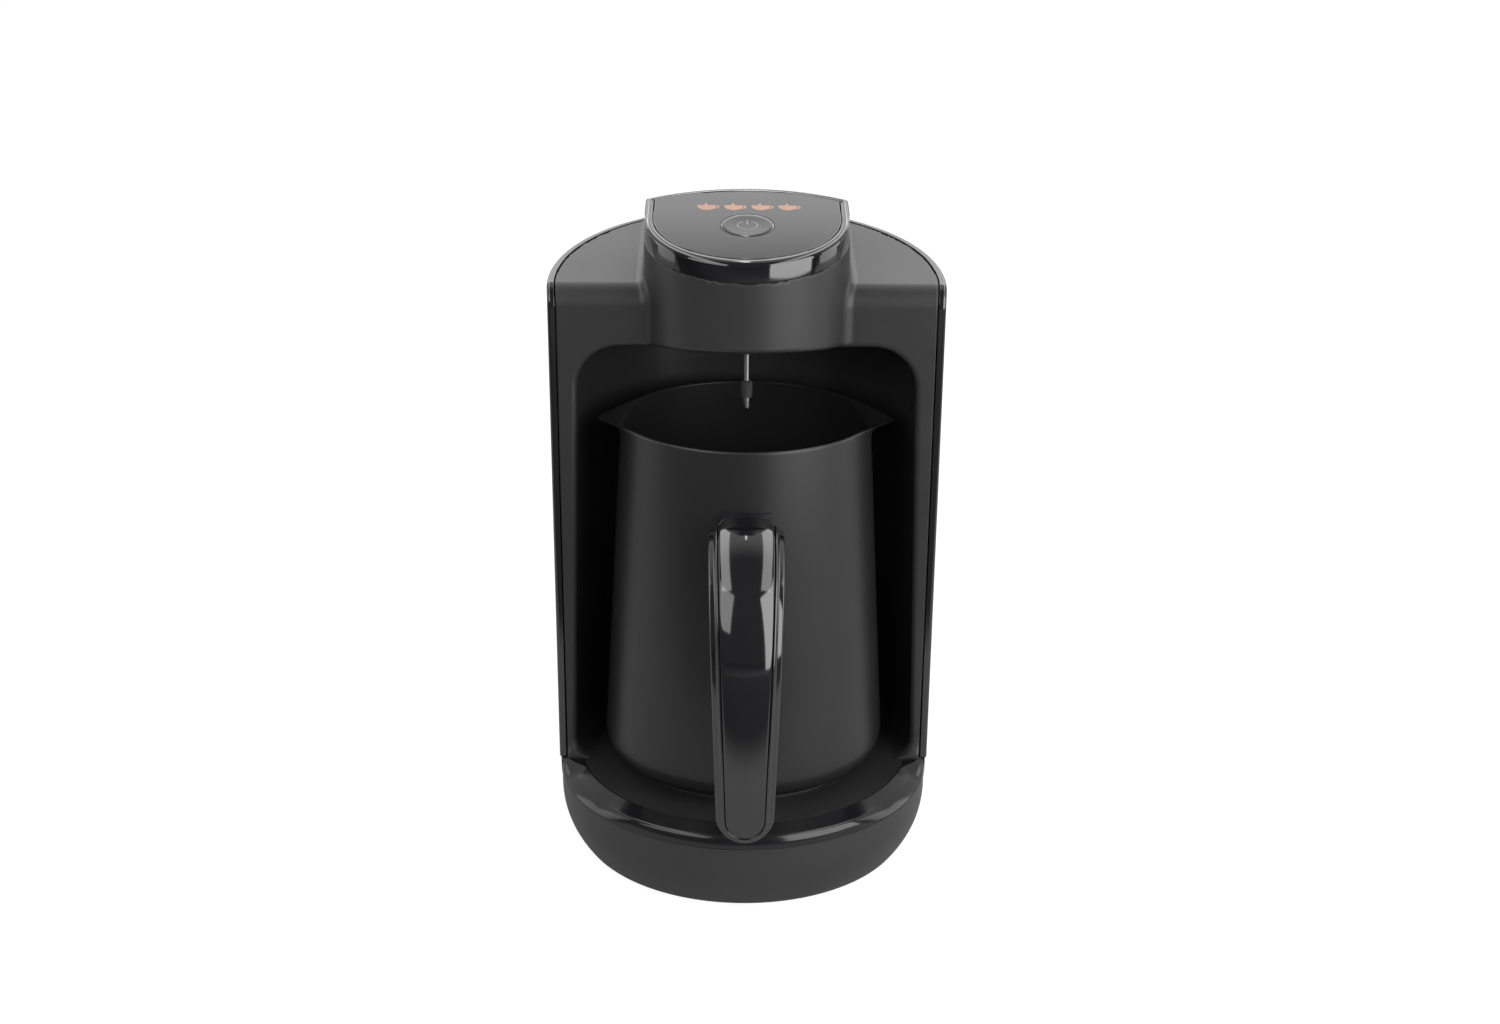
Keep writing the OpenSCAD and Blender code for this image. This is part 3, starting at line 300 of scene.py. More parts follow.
def grain_group():
    """Shader group: the fine grain of an eroded mould and the slow change of its polish."""
    group = bpy.data.node_groups.new("moulded_grain", "ShaderNodeTree")
    sockets = group.interface
    for name, value in (("Grain", 1500.0), ("Polish", 0.4), ("Spread", 0.1)):
        made = sockets.new_socket(name, in_out="INPUT", socket_type="NodeSocketFloat")
        made.default_value = value
    for name in ("Height", "Tone", "Roughness"):
        sockets.new_socket(name, in_out="OUTPUT", socket_type="NodeSocketFloat")
    given = node(group, "NodeGroupInput", (-800, 0))
    given_out = node(group, "NodeGroupOutput", (400, 0))
    place = node(group, "ShaderNodeTexCoord", (-800, 300))
    fine = node(group, "ShaderNodeTexNoise", (-500, 200), Detail=3.0)
    slow = node(group, "ShaderNodeTexNoise", (-500, -100), Scale=35.0, Detail=4.0)
    change = node(group, "ShaderNodeMath", (-300, -150), operation="SUBTRACT")
    change.inputs[1].default_value = 0.5
    times = node(group, "ShaderNodeMath", (-100, -150), operation="MULTIPLY")
    plus = node(group, "ShaderNodeMath", (100, -150), operation="ADD")
    link = group.links.new
    link(place.outputs["Object"], fine.inputs["Vector"])
    link(place.outputs["Object"], slow.inputs["Vector"])
    link(given.outputs["Grain"], fine.inputs["Scale"])
    link(slow.outputs[0], change.inputs[0])
    link(change.outputs[0], times.inputs[0])
    link(given.outputs["Spread"], times.inputs[1])
    link(times.outputs[0], plus.inputs[0])
    link(given.outputs["Polish"], plus.inputs[1])
    link(fine.outputs[0], given_out.inputs["Height"])
    link(slow.outputs[0], given_out.inputs["Tone"])
    link(plus.outputs[0], given_out.inputs["Roughness"])
    return group


moulded_grain = grain_group()


def finish(name, dark, light, polish, spread=0.06, grain=1500.0, depth=0.02, metallic=0.0, ior=1.5):
    """A material whose tone and polish change slowly and whose surface has a fine grain."""
    made = bpy.data.materials.new(name)
    made.use_nodes = True
    made.diffuse_color = (*light, 1)
    tree = made.node_tree
    shader = tree.nodes["Principled BSDF"]
    shader.inputs["Metallic"].default_value = metallic
    shader.inputs["IOR"].default_value = ior
    group = node(tree, "ShaderNodeGroup", (-900, 0), node_tree=moulded_grain)
    group.inputs["Grain"].default_value = grain
    group.inputs["Polish"].default_value = polish
    group.inputs["Spread"].default_value = spread
    tones = node(tree, "ShaderNodeMix", (-500, 200), data_type="RGBA")
    tones.inputs[6].default_value = (*dark, 1)
    tones.inputs[7].default_value = (*light, 1)
    bump = node(tree, "ShaderNodeBump", (-500, -200), Strength=1.0, Distance=depth * mm)
    tree.links.new(group.outputs["Tone"], tones.inputs[0])
    tree.links.new(group.outputs["Roughness"], shader.inputs["Roughness"])
    tree.links.new(group.outputs["Height"], bump.inputs["Height"])
    tree.links.new(tones.outputs[2], shader.inputs["Base Color"])
    tree.links.new(bump.outputs[0], shader.inputs["Normal"])
    return made


matte_black = finish("matte_black", (0.017, 0.017, 0.018), (0.023, 0.023, 0.024), 0.4, spread=0.1)

skirt_low, skirt_high = measure("base_skirt")
foot_h = skirt_low.z
rim_low_z = skirt_high.z
wall = 2.4
skirt_top_r = skirt_high.x
skirt_foot_r = 58.0
skirt_bend_h = 0.78 * rim_low_z
skirt_bend = 2.3
skirt_edge = 0.35
skirt_foot_inset = skirt_edge + 0.3
skirt_rows = 22


def skirt_r(z):
    """Outer radius of the skirt at a height."""
    share = max(0.0, 1 - (z - foot_h) / skirt_bend_h)
    return skirt_top_r - (skirt_top_r - skirt_foot_r) * share ** skirt_bend


skirt_heights = np.linspace(foot_h + skirt_edge, rim_low_z - skirt_edge, skirt_rows)
skirt_outline = (
    [(skirt_r(foot_h) - skirt_foot_inset, foot_h)]
    + [(skirt_r(z), z) for z in skirt_heights]
    + [(skirt_top_r - skirt_edge, rim_low_z), (skirt_top_r - wall, rim_low_z)]
    + [(skirt_r(z) - wall, z) for z in skirt_heights[::-1]]
    + [(skirt_r(foot_h) - wall, foot_h)])
skirt = solid("base_skirt_shell", *turned(skirt_outline))
fit(skirt, matte_black, "matte_black", "machine", "base_skirt")

# Rubber feet
# Four soft black discs with a bevelled tread, pressed into round recesses of the bottom cover.
# One foot is turned and set in each recess.


def new_tree(name, inputs, output):
    """A geometry node tree with named inputs by kind, and its group input."""
    tree = bpy.data.node_groups.new(name, "GeometryNodeTree")
    for kind, names in inputs:
        for each in names:
            tree.interface.new_socket(each, in_out="INPUT", socket_type="NodeSocket" + kind)
    tree.interface.new_socket(output, in_out="OUTPUT", socket_type="NodeSocketGeometry")
    return tree, node(tree, "NodeGroupInput", (-800, 0)).outputs


def end_tree(tree, given, shape):
    """Ends a tree: makes its shape real, gives it the finish and puts it out."""
    real = node(tree, "GeometryNodeRealizeInstances", (1200, 0))
    coat = node(tree, "GeometryNodeSetMaterial", (1400, 0))
    made = node(tree, "NodeGroupOutput", (1600, 0))
    tree.links.new(shape, real.inputs[0])
    tree.links.new(real.outputs[0], coat.inputs["Geometry"])
    tree.links.new(given["Finish"], coat.inputs["Material"])
    tree.links.new(coat.outputs[0], made.inputs[0])
    return tree


def setting_tree():
    """Geometry nodes: one piece set at every point of the host mesh."""
    tree, given = new_tree("set_pieces", (
        ("Geometry", ["Places"]), ("Object", ["Piece"]), ("Rotation", ["Turn"]), ("Material", ["Finish"])),
        "Set")
    pattern = node(tree, "GeometryNodeObjectInfo", (-400, -100), transform_space="ORIGINAL")
    each = node(tree, "GeometryNodeInstanceOnPoints", (-100, 0))
    tree.links.new(given["Piece"], pattern.inputs["Object"])
    tree.links.new(given["Places"], each.inputs["Points"])
    tree.links.new(pattern.outputs["Geometry"], each.inputs["Instance"])
    tree.links.new(given["Turn"], each.inputs["Rotation"])
    return end_tree(tree, given, each.outputs[0])


set_pieces = setting_tree()


def bake(made):
    """Replaces a piece's mesh by what its modifiers give."""
    depsgraph = bpy.context.evaluated_depsgraph_get()
    result = bpy.data.meshes.new_from_object(made.evaluated_get(depsgraph))
    made.modifiers.clear()
    made.data = result
    return made


def run_tree(made, tree, values):
    """Runs a node tree on a piece, with the tree's inputs set by name, and keeps what it gives."""
    run = made.modifiers.new(tree.name, "NODES")
    run.node_group = tree
    for item in tree.interface.items_tree:
        if item.in_out == "INPUT" and item.name in values:
            run[item.identifier] = values[item.name]
    return bake(made)


def set_in_place(name, pattern, places, material, turn=(0, 0, 0)):
    """A piece made of one pattern set at each place, given in millimetres from the pot's axis."""
    mesh = bpy.data.meshes.new(name)
    mesh.from_pydata((np.asarray(places, float) * mm + (0, axis_y, 0)).tolist(), [], [])
    made = bpy.data.objects.new(name, mesh)
    scene.collection.objects.link(made)
    run_tree(made, set_pieces, {"Piece": pattern, "Turn": turn, "Finish": material})
    bpy.data.objects.remove(pattern)
    smooth(made)
    return made


black_rubber = finish("black_rubber", (0.012, 0.012, 0.012), (0.02, 0.02, 0.02), 0.7, depth=0.04)
feet_high = measure("rubber_feet")[1]
foot_r = 6.5
foot_place_r = feet_high.x - foot_r
foot_top = feet_high.z
foot_outline = rounded(
    [(0, 0, 0), (foot_r - 2.2, 0, 0), (foot_r - 1.8, 0.35, 0.1), (foot_r - 1.2, 0.35, 0.1),
     (foot_r - 0.9, 0, 0.1), (foot_r, 0, 0.5), (foot_r, foot_top, 0.2), (0, foot_top, 0)])
foot_points, foot_faces = turned(foot_outline, 48)
foot = solid("foot", foot_points - (0, axis_y / mm, 0), foot_faces)
foot_places = [
    (foot_place_r * math.cos(a), foot_place_r * math.sin(a), 0) for a in np.arange(4) * math.pi / 2]
feet = set_in_place("rubber_foot_set", foot, foot_places, black_rubber)
fit(feet, black_rubber, "black_rubber", "machine", "rubber_feet")

# Bottom cover
# A flat matte black lid that shuts the base from below. It has seven air slots, recesses for the
# feet and sunk holes for its screws, and keeps its own exact form.


def dress(node_name, material):
    """Gives a CAD node that stays as it is a material of its own."""
    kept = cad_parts[node_name]
    if not kept.material_slots:
        kept.data.materials.append(material)
    for held in kept.material_slots:
        held.material = material


dress("bottom_cover", matte_black)

# Screws of the bottom cover
# Four self-tapping steel screws with a low domed head and a cross recess, driven up into the
# posts of the base's floor.
bright_steel = finish(
    "bright_steel", (0.52, 0.52, 0.53), (0.62, 0.62, 0.63), 0.22, grain=900.0, depth=0.004, metallic=1.0)


def carve(made, tool, operation="DIFFERENCE"):
    """Cuts a tool's solid out of a piece and removes the tool."""
    cutter = made.modifiers.new("carve", "BOOLEAN")
    cutter.operation = operation
    cutter.solver = "MANIFOLD"
    cutter.object = tool
    bake(made)
    bpy.data.objects.remove(tool)
    smooth(made)
    return made


def screw(head_r, head_h, shank_r, shank_l, cross=(3.4, 0.7, 0.6)):
    """A screw along z with its head's underside at the origin and its shank up."""
    pitch_h = 0.9
    core_r = shank_r - 0.3
    tip_l = 1.0
    thread = []
    for i in range(max(2, int((shank_l - tip_l) / pitch_h))):
        z = shank_l - tip_l - pitch_h * (i + 0.5)
        thread += [(core_r, z + 0.35 * pitch_h), (shank_r, z), (core_r, z - 0.35 * pitch_h)]
    outline = (
        [(0, shank_l), (0.3, shank_l - 0.2), (core_r, shank_l - tip_l)] + thread
        + [(core_r, 0), (head_r, 0), (head_r, -0.45 * head_h), (0.93 * head_r, -0.8 * head_h),
           (0.7 * head_r, -head_h), (0, -head_h)])
    made = solid("screw", *turned(outline, 36))
    length, width, depth = cross
    for long_x, long_y in ((length, width), (width, length)):
        bar = [(sx * long_x / 2, sy * long_y / 2) for sx, sy in ((-1, -1), (1, -1), (1, 1), (-1, 1))]
        slot = solid("slot", *joined([[(x, y, z) for x, y in bar] for z in (-head_h - 1, -head_h + depth)]))
        carve(made, slot)
    made.data.transform(Matrix.Translation((0, -axis_y, 0)))
    return made


cover_screw_low, cover_screw_high = measure("cover_screws")
screw_head_r, screw_head_h, screw_shank_r = 2.9, 1, 1.45
cover_screw_place = cover_screw_high.x - screw_head_r
cover_screw_seat = cover_screw_low.z + screw_head_h
cover_screw = screw(screw_head_r, screw_head_h, screw_shank_r, cover_screw_high.z - cover_screw_seat)
cover_screw_places = [
    (sx * cover_screw_place, sy * cover_screw_place, cover_screw_seat) for sx in (-1, 1) for sy in (-1, 1)]
cover_screws = set_in_place("cover_screw_set", cover_screw, cover_screw_places, bright_steel)
fit(cover_screws, bright_steel, "bright_steel", "machine", "cover_screws")

# Glossy rim of the base
# A polished black ring on the skirt. In front of the column it widens to a crowned crescent whose
# two ends run out to rounded tips, and behind it is a low band below the back shell.
rim_black = finish(
    "rim_black", (0.006, 0.006, 0.007), (0.01, 0.01, 0.011), 0.14, spread=0.04, depth=0.0015, grain=260.0)
gloss_black = finish(
    "gloss_black", (0.004, 0.004, 0.005), (0.007, 0.007, 0.008), 0.07, spread=0.03, depth=0.0015,
    grain=260.0, ior=1.8)
rim_box_low, rim_box_high = measure("base_rim")
base_h = rim_box_high.z
rim_r = -rim_box_low.y
rim_end_y = rim_box_high.y
floor_r = 57.0
rim_gap = 0.25
rim_steps = 160
section_steps = 20
tip_y = -22.0
tip_w = 2.6
rim_back_h = 4.3
rim_seam = 0.05
rim_lip = 0.35
side_slope, front_slope = math.radians(28), math.radians(11)
side_round, front_round = 0.55, 0.78
front_from, front_blend = 0.64, 0.18
rings = []
rim_turn = math.acos(-rim_end_y / rim_r)
for i in range(rim_steps + 1):
    off = rim_turn * math.sin(math.pi * (i / rim_steps - 0.5))
    s, c = math.sin(off), math.cos(off)
    near = min(1.0, max(0.0, (tip_y + rim_r * c) / (tip_y - rim_end_y)))
    inner = floor_r + rim_gap + (rim_r - floor_r - tip_w) * (3 * near ** 2 - 2 * near ** 3)
    across = rim_r - inner
    ahead_share = min(1.0, max(0.0, (c - front_from) / front_blend))
    height = base_h - rim_low_z - rim_seam
    slope = side_slope + (front_slope - side_slope) * ahead_share
    fall = min(math.tan(slope) * across, 0.7 * height)
    round_from = side_round + (front_round - side_round) * ahead_share
    section = [(inner, base_h - 0.5), (inner + 0.1, base_h - 0.15)]
    for k in range(section_steps + 1):
        x = math.sin(math.pi / 2 * k / section_steps)
        bend = max(0.0, (x - round_from) / (1 - round_from))
        drop = fall * x + (height - fall) * (1 - math.sqrt(1 - bend ** 2))
        section.append((inner + rim_lip + (across - rim_lip) * x, base_h - drop))
    section += [(rim_r - wall, rim_low_z + rim_seam), (min(inner + 0.2, rim_r - wall), base_h - wall)]
    rings.append([(r * s, -r * c, z) for r, z in section])
rim = solid("base_rim_crescent", *joined(rings))
rings = []
back_outline = [(rim_r - wall, rim_low_z + rim_seam), (rim_r, rim_low_z + rim_seam),
                (rim_r, rim_low_z + rim_back_h - 0.3), (rim_r - 0.3, rim_low_z + rim_back_h),
                (rim_r - wall, rim_low_z + rim_back_h)]
band_turn = rim_turn - 0.01
for i in range(rim_steps + 1):
    off = band_turn + 2 * (math.pi - band_turn) * i / rim_steps
    rings.append([(r * math.sin(off), -r * math.cos(off), z) for r, z in back_outline])
carve(rim, solid("back_band", *joined(rings)), "UNION")
fit(rim, rim_black, "gloss_black", "machine", "base_rim")

# Floor of the base
# A matte black deck moulded with four screw posts. It surrounds the heating plate, and the column
# stands on its rear half. Its own exact form stays.
dress("base_floor", matte_black)

# Heater under the pot
# A coated aluminium plate on a soft seal, a tubular element clamped below it over a steel shield,
# and a sprung steel button in its centre that feels the pot. They keep their own exact forms.
plate_coat = finish("plate_coat", (0.02, 0.02, 0.021), (0.03, 0.03, 0.032), 0.4, grain=800.0, depth=0.03)
dull_steel = finish(
    "dull_steel", (0.4, 0.4, 0.4), (0.5, 0.5, 0.49), 0.38, spread=0.2, grain=500.0, depth=0.01, metallic=1.0)
ceramic = finish("ceramic", (0.62, 0.58, 0.5), (0.72, 0.69, 0.62), 0.55, depth=0.02)
dress("plate_seal", black_rubber)
dress("heating_plate", plate_coat)
dress("heating_element", dull_steel)
dress("heat_shield", dull_steel)
dress("sensor_holder", ceramic)
dress("sensor_button", bright_steel)
dress("thermal_fuse", ceramic)

# Spring of the sensor button
# A steel wire wound into a short coil. It stands in the ceramic holder and is pressed together when
# the pot pushes the button down.


def winding_tree():
    """Geometry nodes: a round wire wound into a coil, with closed ends."""
    tree, given = new_tree("wind_wire", (
        ("Float", ["Turns", "Coil radius", "Coil height", "Wire radius"]), ("Vector", ["Foot"]),
        ("Material", ["Finish"])), "Coil")
    path = node(tree, "GeometryNodeCurveSpiral", (-500, 100), Resolution=28)
    wire = node(tree, "GeometryNodeCurvePrimitiveCircle", (-500, -200), Resolution=12)
    tube = node(tree, "GeometryNodeCurveToMesh", (-200, 0), Fill_Caps=True)
    stand = node(tree, "GeometryNodeTransform", (50, 0))
    for name, socket in (
            ("Turns", "Rotations"), ("Coil radius", "Start Radius"), ("Coil radius", "End Radius"),
            ("Coil height", "Height")):
        tree.links.new(given[name], path.inputs[socket])
    tree.links.new(given["Wire radius"], wire.inputs["Radius"])
    tree.links.new(path.outputs[0], tube.inputs["Curve"])
    tree.links.new(wire.outputs[0], tube.inputs["Profile Curve"])
    tree.links.new(tube.outputs[0], stand.inputs["Geometry"])
    tree.links.new(given["Foot"], stand.inputs["Translation"])
    return end_tree(tree, given, stand.outputs[0])


spring_low, spring_high = measure("sensor_spring")
spring_wire_r = 0.34
spring_turns = 4.0
spring_l = spring_high.z - spring_low.z
spring = bpy.data.objects.new("sensor_coil", bpy.data.meshes.new("sensor_coil"))
scene.collection.objects.link(spring)
run_tree(spring, winding_tree(), {
    "Turns": spring_turns, "Coil radius": (spring_high.x - spring_wire_r) * mm,
    "Coil height": (spring_l - 2 * spring_wire_r) * mm, "Wire radius": spring_wire_r * mm,
    "Foot": (0, axis_y, (spring_low.z + spring_wire_r) * mm), "Finish": bright_steel})
smooth(spring)
fit(spring, bright_steel, "bright_steel", "machine", "sensor_spring")
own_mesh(spring)

# Power board and leads
# A green board with its relay, transformer and terminals on pegs of the bottom cover, and a flat
# grey lead that climbs behind the pot's bay to the controls.
board = finish("board", (0.02, 0.09, 0.04), (0.03, 0.13, 0.06), 0.35, depth=0.01)
board_parts = finish("board_parts", (0.03, 0.07, 0.2), (0.05, 0.1, 0.28), 0.4)
lead_grey = finish("lead_grey", (0.2, 0.2, 0.21), (0.27, 0.27, 0.28), 0.5)
dress("power_board", board)
dress("power_parts", board_parts)
dress("wire_harness", lead_grey)
dress("cord_gland", black_rubber)

# Front cover
# The machine's main moulding in matte black: a half-round column with an upright front that folds
# into the shoulders, the niche for the pot, and the barrel of the head, all run together by fillets.
fold_r = 6.0
front_y = 9.0
column_h = 199.7
fascia_r = 62.8
shoulder_slope, deck_slope, under_slope, roof_slope = (math.radians(a) for a in (10, 13, 8.5, 20.5))
bay_low_r, bay_top_r, bay_back_y, bay_top_z = 59.3, 56.4, 52.5, 180.3
bay_corner_r, bay_sweep_r, bay_edge_r, bay_back_r = 14.0, 7.5, 2.2, 6.0
head_r, head_y = 33.7, 2.0
deck_front_z = 213.4
deck_back_y, deck_back_r = 26.0, 68.7
band_h = 6.5
under_z = 181.0
corner_y = deck_back_y - deck_back_r + math.sqrt(deck_back_r ** 2 - head_r ** 2)
roof_drop = 0.8
head_fillet = 3.0
barrel_foot_round, roof_round, fascia_round, pocket_round = 1.3, 0.8, 0.4, 0.3
base_gap, band_gap = 0.08, 0.1
foot_y, foot_top_z = 11.2, 45
bush_y, bush_r = 14.0, 3.7


def shoulder_z(y):
    """Height of the shoulders' sloped face at a place from front to back."""
    return column_h + (y + front_y) * math.tan(shoulder_slope)


def deck_z(y):
    """Height of the deck's sloped face at a place from front to back."""
    return deck_front_z + (y - head_y + head_r) * math.tan(deck_slope)


def meet(a, b, radius):
    """The material that lies in both solids, with the edge between them rounded."""
    return np.minimum(-radius, np.maximum(a, b)) + np.hypot(
        np.maximum(radius + a, 0), np.maximum(radius + b, 0))


def blend(a, b, radius):
    """The material that lies in either solid, with a fillet between them."""
    return -meet(-a, -b, radius)


def bay_depth(x, y, z):
    """Distance outside the niche: a cone with a rounded ceiling and a flat rear wall."""
    lean = (bay_top_r - bay_low_r) / (bay_top_z - bay_corner_r - base_h)
    side = (np.hypot(x, y) - bay_low_r - lean * (z - base_h)) * math.cos(math.atan(lean))
    return meet(meet(side, z - bay_top_z, bay_corner_r), y - bay_back_y, bay_back_r)


def cover_depth(x, y, z):
    """Distance outside the front cover's material, negative inside it."""
    around = np.hypot(x, y)
    shoulder = (z - shoulder_z(y)) * math.cos(shoulder_slope)
    column = meet(-front_y - y, shoulder, fold_r)
    plan = np.hypot(x, np.minimum(y - head_y, 0)) - head_r
    under = (under_z - (y + front_y) * math.tan(under_slope) - z) * math.cos(under_slope)
    deck = (z - deck_z(y)) * math.cos(deck_slope)
    arc = np.hypot(x, y - deck_back_y + deck_back_r) - deck_back_r
    roof_z = deck_z(corner_y) - roof_drop - (y - corner_y) * math.tan(roof_slope)
    roof = np.maximum(deck, np.minimum(arc, (z - roof_z) * math.cos(roof_slope)))
    head = meet(meet(plan, under, barrel_foot_round), roof, roof_round)
    whole = blend(column, head, head_fillet)
    bay = bay_depth(x, y, z)
    whole = meet(whole, -bay, bay_edge_r)
    whole = blend(whole, z - base_h + base_gap, bay_sweep_r)
    whole = meet(whole, -foot_y - np.where(z < foot_top_z, y, 0), fascia_round)
    whole = meet(whole, around - fascia_r, fascia_round)
    inside = np.minimum(
        np.maximum(wall - front_y - y, shoulder + wall),
        np.maximum(np.maximum(plan + wall, under + wall), roof + wall))
    inside = np.maximum(inside, wall - bay)
    pocket = np.maximum(
        np.maximum(plan - band_gap, arc - band_gap), -deck - band_h * math.cos(deck_slope))
    bush = np.maximum(np.hypot(x, y + bush_y) - bush_r, z - column_h)
    whole = meet(whole, -pocket, pocket_round)
    whole = np.maximum(np.maximum(whole, -inside), -bush)
    return np.maximum(whole, base_h - z)


def lines(*stretches):
    """Grid lines from (start, end, step) stretches that follow each other."""
    out = []
    for start, end, step in stretches:
        out += list(np.linspace(start, end, max(1, round((end - start) / step)), endpoint=False))
    return np.array(out + [stretches[-1][1]])


def skin(depth, grid):
    """Points, faces and normals of a solid's skin, from its depth on a lattice of points."""
    value = depth(grid[..., 0], grid[..., 1], grid[..., 2])
    inside = value < 0
    corners = np.array([(a, b, c) for a in (0, 1) for b in (0, 1) for c in (0, 1)])
    size = np.array(value.shape) - 1
    filled = sum(
        inside[a:a + size[0], b:b + size[1], c:c + size[2]].astype(np.int8) for a, b, c in corners)
    active = (filled > 0) & (filled < 8)
    cells = np.argwhere(active)
    number = np.full(active.shape, -1)
    number[active] = np.arange(len(cells))
    at = cells[:, None] + corners[None]
    values = value[at[..., 0], at[..., 1], at[..., 2]]
    places = grid[at[..., 0], at[..., 1], at[..., 2]]
    total = np.zeros((len(cells), 3))
    crossings = np.zeros((len(cells), 1))
    for p in range(8):
        for q in range(p + 1, 8):
            if abs(corners[p] - corners[q]).sum() != 1:
                continue
            crosses = ((values[:, p] < 0) != (values[:, q] < 0))[:, None]
            share = (values[:, p] / np.where(crosses[:, 0], values[:, p] - values[:, q], 1))[:, None]
            total += np.where(crosses, places[:, p] + share * (places[:, q] - places[:, p]), 0)
            crossings += crosses
    points = total / crossings
    low, high = places.min(1), places.max(1)
    step = 0.01
    for _ in range(5):
        slope = np.stack([
            (depth(*(points + step * e).T) - depth(*(points - step * e).T)) / (2 * step)
            for e in np.eye(3)], -1)
        reach = depth(*points.T)[:, None]
        points = np.clip(points - reach * slope / np.maximum((slope ** 2).sum(1)[:, None], 0.2), low, high)
    normals = slope / np.linalg.norm(slope, axis=1)[:, None]
    faces = []
    for axis in range(3):
        second, third = (axis + 1) % 3, (axis + 2) % 3
        first = np.moveaxis(inside, (axis, second, third), (0, 1, 2))
        changed = first[:-1] != first[1:]
        changed = changed[:, 1:-1, 1:-1]
        i, j, k = np.nonzero(changed)
        outward = first[:-1][i, j + 1, k + 1]
        cell = np.moveaxis(number, (axis, second, third), (0, 1, 2))
        around = np.stack([cell[i, j, k], cell[i, j + 1, k], cell[i, j + 1, k + 1], cell[i, j, k + 1]], 1)
        faces.append(np.where(outward[:, None], around, around[:, ::-1]))
    return points, np.concatenate(faces), normals


def moulding(name, depth, grid):
    """A closed moulding from its depth on a lattice, shaded with its true normals."""
    points, faces, normals = skin(depth, grid)
    mesh = bpy.data.meshes.new(name)
    mesh.from_pydata((points * mm + (0, axis_y, 0)).tolist(), [], faces.tolist())
    mesh.shade_smooth()
    mesh.normals_split_custom_set_from_vertices(normals.tolist())
    made = bpy.data.objects.new(name, mesh)
    scene.collection.objects.link(made)
    return made


# The lattice is close where the skin bends and wide where it runs plain. Above the niche it tilts
# with the deck.
coarse = 1.0
half_x = lines(
    (0, 28, 1.4 * coarse), (28, 37, 0.7 * coarse), (37, 53, 1.4 * coarse), (53, 63.2, 0.6 * coarse))
cover_x = np.concatenate([-half_x[:0:-1], half_x])
cover_y = lines(
    (-33, -13, 1.1 * coarse), (-13, -5, 0.6 * coarse), (-5, 48, 1.4 * coarse), (48, 64, 0.8 * coarse))
level_top_z, tilt_h = 186, 16
cover_z = lines(
    (base_h - 0.6, 40, 0.75 * coarse), (40, 160, 4), (160, 174, 1.6 * coarse),
    (174, level_top_z, 0.8 * coarse), (level_top_z, 219.6, 0.75 * coarse))
grid = np.stack(np.meshgrid(cover_x, cover_y, cover_z, indexing="ij"), -1)
tilt = np.clip((grid[..., 2] - level_top_z) / tilt_h, 0, 1)
grid[..., 2] += (grid[..., 1] + front_y) * math.tan(deck_slope) * tilt
front_cover = moulding("front_cover_moulding", cover_depth, grid)
fit(front_cover, matte_black, "matte_black", "machine", "front_cover")

# Back shell
# A polished black half cylinder that wraps the column from one edge of its front to the other and
# folds over at the top with the shoulders. Its edges are softened where they show, and the heads
# of its four screws lie sunk in round holes.
shell_r = measure("back_shell")[1].x
shell_gap = 0.3
shell_low_z = rim_low_z + rim_back_h + shell_gap
shell_edge_r, shell_foot_round, shell_inner_round, shell_hole_round = 1.1, 0.8, 0.25, 0.2
shell_hole_y = 50
screws_low, screws_high = measure("shell_screws")
shell_hole_r = screw_head_r + 0.3
shell_screw_x = screws_high.x - screw_head_r
shell_screw_z = (screws_low.z + screw_head_r, screws_high.z - screw_head_r)


def shell_depth(x, y, z):
    """Distance outside the back shell's material, negative inside it."""
    around = np.hypot(x, y)
    shoulder = (z - shoulder_z(y)) * math.cos(shoulder_slope)
    column = meet(-front_y - y, shoulder, fold_r)
    outside = meet(meet(around - shell_r, column, shell_edge_r), shell_low_z - z, shell_foot_round)
    for screw_z in shell_screw_z:
        hole = np.maximum(np.hypot(abs(x) - shell_screw_x, z - screw_z) - shell_hole_r, shell_hole_y - y)
        outside = meet(outside, -hole, shell_hole_round)
    return meet(outside, fascia_r + shell_gap - around, shell_inner_round)


shell_turn = math.degrees(math.asin((front_y + 1) / fascia_r))
edge_turn = 8
hole_turn = 4
edge_step, hole_step, plain_step = 0.22, 0.35, 1.7
screw_turn = math.degrees(math.atan(shell_screw_x / screws_high.y))
first_hole, second_hole = 90 - screw_turn, 90 + screw_turn
shell_turns = np.radians(lines(
    (-shell_turn, edge_turn - shell_turn, edge_step),
    (edge_turn - shell_turn, first_hole - hole_turn, plain_step),
    (first_hole - hole_turn, first_hole + hole_turn, hole_step),
    (first_hole + hole_turn, second_hole - hole_turn, plain_step),
    (second_hole - hole_turn, second_hole + hole_turn, hole_step),
    (second_hole + hole_turn, 180 + shell_turn - edge_turn, plain_step),
    (180 + shell_turn - edge_turn, 180 + shell_turn, edge_step)))
shell_across = lines((fascia_r - 0.2, shell_r + 0.4, 0.33 * coarse))
hole_h = 4.2
low_hole, high_hole = shell_screw_z
shell_z = lines(
    (shell_low_z - 0.5, shell_low_z + 2, 0.4), (shell_low_z + 2, low_hole - hole_h, 6),
    (low_hole - hole_h, low_hole + hole_h, 0.4), (low_hole + hole_h, high_hole - hole_h, 6),
    (high_hole - hole_h, high_hole + hole_h, 0.4), (high_hole + hole_h, 190, 6),
    (190, 214, 0.5 * coarse))
out, turn, up = np.meshgrid(shell_across, shell_turns, shell_z, indexing="ij")
grid = np.stack([out * np.cos(turn), out * np.sin(turn), up], -1)
shell = moulding("back_shell_cylinder", shell_depth, grid)
fit(shell, gloss_black, "gloss_black", "machine", "back_shell")

# Screws of the back shell
# Four steel screws, driven in from behind, hold the back shell to posts behind the niche. They keep
# their own exact form.
dress("shell_screws", bright_steel)

